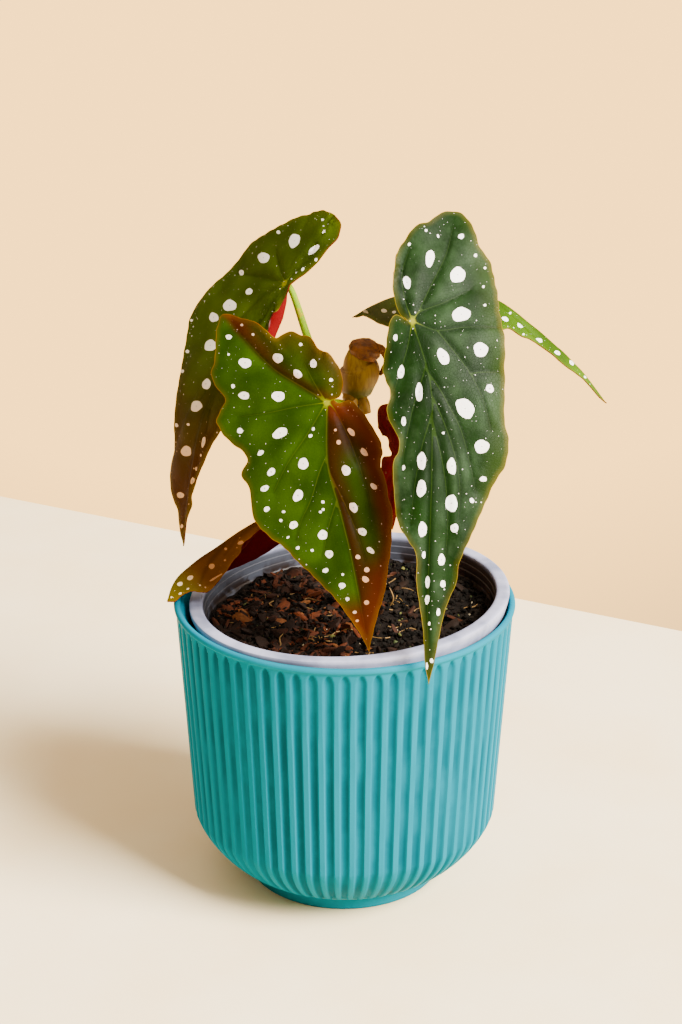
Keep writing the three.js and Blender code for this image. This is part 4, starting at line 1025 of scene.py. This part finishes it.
# The left leaf: dark olive, seen aslant, its tip hangs outside the pot
grow_leaf(
    "leaf_left", "leaf_dark",
    Blade([(-21.9, 20, 228.8), (-30.2, 18, 216.2), (-41.3, 16, 200.7), (-51.4, 13, 182.4), (-56.5, 10, 163.8),
           (-59, 7, 147.1), (-60.2, 3, 132.2)],
          (-0.75, -0.6, 0.3), (-0.75, -0.6, 0.2), (0.1, 0.1), (0.006, 0.006), 0.002),
    [(-0.9, 3.2), (-3.9, 4.1), (-8.7, 6.1), (-14.6, 7.7), (-19.7, 8.2), (-24.2, 8.8), (-27.8, 6.8),
     (-30.2, 4.1), (-30.5, -0.1), (-28.9, -5.9), (-26.4, -10.6), (-25.2, -11.9), (-21, -16.8),
     (-12.7, -24.5), (-1.8, -34.9), (8.4, -38.2), (21.5, -41.1), (33.7, -41.9), (38.6, -38.3), (44.4, -33.4),
     (49.7, -28.2), (55, -23.1), (65.3, -18.2), (74.8, -14.5), (80, -15), (84.4, -13.4), (90.5, -9.8),
     (94.7, -5.6), (100.6, -3.5), (107.7, 0), (97.3, 1.3), (92.8, 3.1), (87.8, 2.7), (82.1, 4), (75.9, 6.4),
     (66.5, 8.9), (59.2, 10.9), (46.1, 14.2), (30.6, 12.2), (16.9, 6.4), (13.2, 4.2), (8.1, 4.1), (2.6, 4.1)],
    [[(0, 0), (-6.1, 0.8), (-12.6, 1.4), (-18.2, 1.9)], [(0, 0), (-2.5, -5.7), (-6, -14.6)],
     [(0, 0), (2.4, -8.9), (5.7, -20.3), (10, -32.6)], [(0, 0), (9.2, -7.3), (22, -10), (34.4, -8.6)],
     [(15.2, 0), (28.2, -1), (42.6, -2.8), (55, -6)], [(34.4, 0), (50.9, 1.2), (62, 4)]],
    [(-14.2, -8.9, 7.3, 5.9, 80), (-16.2, 2.6, 6, 3.2, -20), (-1.8, -19.9, 9.1, 4.5, -80),
     (-12.8, -20.7, 3, 1.5, -85), (-26.6, -2.2, 2, 1.1, -80), (-23.5, 1.8, 1.9, 1.5, -45),
     (8.3, -29.4, 5.1, 2.5, -85), (11.3, -15.5, 5.1, 3, -75), (21.2, -20.3, 10, 5.2, -70),
     (28.8, -25.1, 8.3, 3.4, -80), (36.1, -16.2, 9.7, 4.7, -75), (47.5, -6, 5.7, 4.3, -80),
     (56.3, -6.1, 8.1, 4.6, -75), (35.1, -39.1, 3, 1, -80), (43.9, -30.5, 3.6, 1.3, -80),
     (49.9, -25.6, 3.8, 1.3, -80), (-8.2, 3.8, 1.8, 1.2, -10), (-13.9, 6.6, 1.5, 1.2, -15),
     (73, -4.9, 7.1, 4.4, -75), (66.8, 4.4, 4.8, 2.7, 5), (63.5, -6.8, 2.2, 1.1, -80),
     (66.3, -16, 2.6, 1.5, -90), (89.4, -4.4, 5.1, 2.4, -80), (77.6, 2.9, 1.9, 1.3, 0),
     (82.4, 2.2, 3.1, 1.4, -5), (71.9, 4.7, 1.3, 1.3, -40), (100.5, -1.8, 2.3, 1.6, -65)],
    (0.5, 10, 0.8),
    leaf_looks("left", (44, 58, 2), (72, 92, 4), (66, 36, 4), 0.08, (116, 96, 14),
               ((246, 246, 244), (196, 154, 112)), 0.4, 0.035, 0.09, (50, 66, 8), 0.025),
    lambda flat: slope(flat[:, 0] + 0.3 * flat[:, 1], 24, 84))

# Its near lobe folds back below the hub and shows a strip of the red underside
bpy.ops.mesh.primitive_grid_add(x_subdivisions=5, y_subdivisions=10, size=2)
left_fold = bpy.context.object
left_fold.name = "leaf_left_fold"
fold_places = np.array([tuple(v.co) for v in left_fold.data.vertices])
drop, over = (1 - fold_places[:, 1]) / 2, (fold_places[:, 0] + 1) / 2
fold_rows = np.array([0, 0.22, 0.5, 0.8, 1.0])
fold_left = np.array([(-22.3, 20.4, 226), (-25.2, 20.6, 221.4), (-28.4, 20.2, 215.2), (-31, 19.4, 209),
                      (-32.4, 18.8, 204.5)])
fold_right = np.array([(-20.9, 19.8, 225.6), (-21.2, 20.4, 221.3), (-22.6, 20.2, 215.3), (-25.2, 19.4, 209.2),
                       (-26.8, 18.8, 204.7)])
for axis in range(3):
    near_side = np.interp(drop, fold_rows, fold_left[:, axis])
    far_side = np.interp(drop, fold_rows, fold_right[:, axis])
    fold_places[:, axis] = near_side + (far_side - near_side) * over
fold_places[:, 1] -= 0.7 * np.sin(math.pi * over)
put_corners(left_fold, fold_places)
bpy.ops.object.select_all(action="DESELECT")
fold_sheet = left_fold.modifiers.new("thickness", "SOLIDIFY")
fold_sheet.thickness = 0.4 * MM
fold_sheet.offset = 0
bpy.context.view_layer.objects.active = left_fold
bpy.ops.object.modifier_apply(modifier=fold_sheet.name)
fold_skin = Look("left_fold", 0.45)
fold_tone = fold_skin.mix(fold_skin.cloud(fold_skin.place(), 200, 3), (136, 17, 17), (102, 10, 15))
fold_skin.set(base_color=fold_tone, specular_ior_level=0.1)
finish(left_fold, fold_skin, "leaf_dark", "leaf_left")

# The right leaf: yellow green, nearly edge on, passing behind the tall leaf
grow_leaf(
    "leaf_right", "leaf_pale",
    Blade([(31.3, 26, 224.1), (45.5, 29, 224), (57.5, 31, 218.8), (74.6, 31, 205.7), (88.1, 30, 193.1),
           (98.5, 28, 180)],
          (0, 0, 1), (0, 0, 1), (0.3, 0.4), (0.012, 0.012), 0.01),
    [(-1.5, 2.2), (-7, 4.2), (-14, 5.5), (-21, 5), (-26, 3), (-28.8, 0), (-25.4, -3.6), (-24.3, -6.9),
     (-22.2, -10.6), (-20.5, -13.5), (-12, -17), (0, -18.6), (12, -18.8), (22, -18.4), (31, -15.8),
     (35, -12.4), (39.3, -11.5), (45, -9.3), (49.8, -8.7), (55.6, -7.5), (61.7, -6.7), (72, -3.6),
     (81.4, -1.8), (84.8, 0), (77, 1.6), (65, 4.4), (57, 6.2), (50, 8.2), (42, 10), (35, 12.4), (20, 15.5),
     (8, 16.5), (0, 14), (-3.5, 8)],
    [[(0, 0), (-9, -4), (-19, -6)], [(0, 0), (3, -8), (6, -15)], [(8, 0), (20, -7), (30, -12)],
     [(24, 0), (36, -4), (48, -6)], [(2, 0), (10, 6), (18, 12)], [(18, 0), (30, 5), (42, 7)]],
    [(-24.5, -1.6, 2.8, 1.3, -65), (-18.9, -5, 2.6, 1.9, -60), (-16, -7.9, 2, 1.6, -80),
     (31.1, -9.3, 4.3, 2.6, 35), (38.4, -6.4, 4, 2.6, 50), (47.9, -5.5, 3.7, 2.3, 40),
     (56.6, -4.3, 3.3, 2.2, 40), (63.7, -2.5, 3.1, 2.4, 55), (71.4, -2, 2.1, 1.3, 70), (33, -3.2, 2.1, 1, 70),
     (40.9, -9.6, 1.7, 0.9, 65), (-6, -11, 4.6, 3.6, 30), (6, -11, 5.4, 3.8, 10), (17, -12, 5, 3.6, -10),
     (14, -5, 3.6, 2.6, 0), (-10, -4, 3, 2.4, 0), (4, 8, 5.2, 3.8, 20), (16, 8, 5, 3.6, -10),
     (28, 8, 4.6, 3.2, 0), (38, 5, 4, 2.8, 10), (50, 4, 3.4, 2.2, 0), (60, 2.6, 2.6, 1.6, 0)],
    (0.3, 9, 0.5),
    leaf_looks("right", (44, 72, 2), (76, 113, 2), (62, 66, 14), 0.06, (110, 116, 14),
               ((250, 250, 244), (176, 160, 120)), 0.36, 0.1, 0.1),
    # Painted shade: the lobe behind the hub, and the spots on it, are painted darker olive and tan.
    lambda flat: 0.9 * slope(-flat[:, 0], 2, 20))

# The low leaf: bronze, folded like a tent, its blunt tip lies over the left rim
grow_leaf(
    "leaf_low", "leaf_bronze",
    Blade([(-16.5, 4, 155.4), (-33, 6, 141.5), (-42.7, 5, 134.9), (-52.1, 3.5, 128.8), (-60.7, 0.5, 122.8),
           (-64.6, -4, 118.6), (-65.9, -8, 115.1)],
          (-0.6, -0.1, 0.8), (-0.6, -0.1, 0.8), (1.1, 0.75), (0, 0.02), 0.004),
    [(-1.4, 1.2), (-5, 5), (-2, 9.5), (6, 10.5), (14, 7.5), (21.8, 4.4), (26.2, 4.6), (30.2, 4.8),
     (32.8, 7.2), (36.8, 8.7), (41, 10.2), (47.9, 12.3), (52, 12.7), (57.3, 11.8), (61.8, 7.4), (66.2, 4.8),
     (68.7, 2.8), (69.4, 0.4), (68, -2), (64, -4.5), (58, -7.5), (50, -12), (41, -16), (30, -19), (18, -20),
     (6, -18.5), (-4, -13.5), (-8, -7), (-6, -1.5)],
    [[(21.7, 0), (29.8, 1.4), (38.4, 4.8)], [(33.5, 0), (43.8, 3.6), (54.2, 8.7)],
     [(0, 0), (10, -8), (20, -14)], [(16, 0), (28, -7), (40, -11)], [(32, 0), (42, -4), (52, -7)]],
    [(45.2, 5.6, 2.7, 2.3, -20), (55.3, 4.2, 3.5, 2.1, -10), (60.4, 2.5, 2.6, 2, -30),
     (37, 3, 1.4, 1.2, -50), (31, 4.2, 2.7, 1.6, -15), (39.5, 6.6, 1.2, 1, -35), (46.3, 10.1, 6.9, 0.9, -5),
     (54.4, 8.8, 1.8, 0.9, -15), (60.9, 6.2, 1.8, 0.8, -15), (64.8, 4.3, 1.9, 1.1, -25),
     (67.1, 1.4, 1, 0.9, 20), (10, -6, 4.4, 3, 20), (22, -9, 4.6, 3, 10), (34, -7, 4, 2.6, 0),
     (46, -5, 3.4, 2.2, 0), (28, -15, 3.4, 2.2, 10), (44, -11.5, 2.6, 1.6, 10)],
    (0.3, 9, 0),
    leaf_looks("low", (72, 66, 5), (104, 90, 8), (100, 60, 11), 0.04, (140, 88, 8),
               ((226, 206, 164), (176, 124, 74)), 0.38, 0.03, 0.12, (96, 70, 10)),
    lambda flat: slope(62 - flat[:, 0], 0, 14))

# The youngest leaf: small, dark red and still ruffled, in the gap between the two large ones
grow_leaf(
    "leaf_young", "leaf_red",
    Blade([(19.5, -14, 170.5), (18.8, -15, 158.5), (17.9, -16, 146.5)],
          (0, -1, 0.2), (0, -1, 0.2), (0.2, 0.1), (0.01, 0.01), 0),
    [(-2, 0.6), (-7.6, 3.3), (-16.7, 1.8), (-21.5, -1.5), (-22.5, -4.7), (-21.5, -8), (-18.5, -9.1),
     (-14.2, -8.7), (-10.8, -6.9), (-9.5, -4.4), (-6.8, -4.3), (-3.8, -3), (-2.8, -5.8), (1, -6.5), (7, -6.5),
     (14.2, -4.7), (22.5, -2.5), (24, -0.5), (14, 1.5), (3.3, 3), (-0.6, 1.4)],
    [[(0, 0), (-9, -1.6), (-18, -4.6)], [(0, 0), (4, -3), (9, -4.6)], [(4, 0), (10, -2), (16, -2.6)]],
    [(-17, -5.4, 2, 1.4, 20), (3, -4.6, 1.2, 0.8, 0)],
    (0.5, 8, 0),
    leaf_looks("young", (88, 7, 9), (126, 17, 13), (88, 7, 9), 0.0, (130, 66, 16),
               ((130, 60, 46), (130, 60, 46)), 0.4, 0.08, 0.0, (90, 12, 10)),
    lambda flat: np.zeros(len(flat)), 0.9)
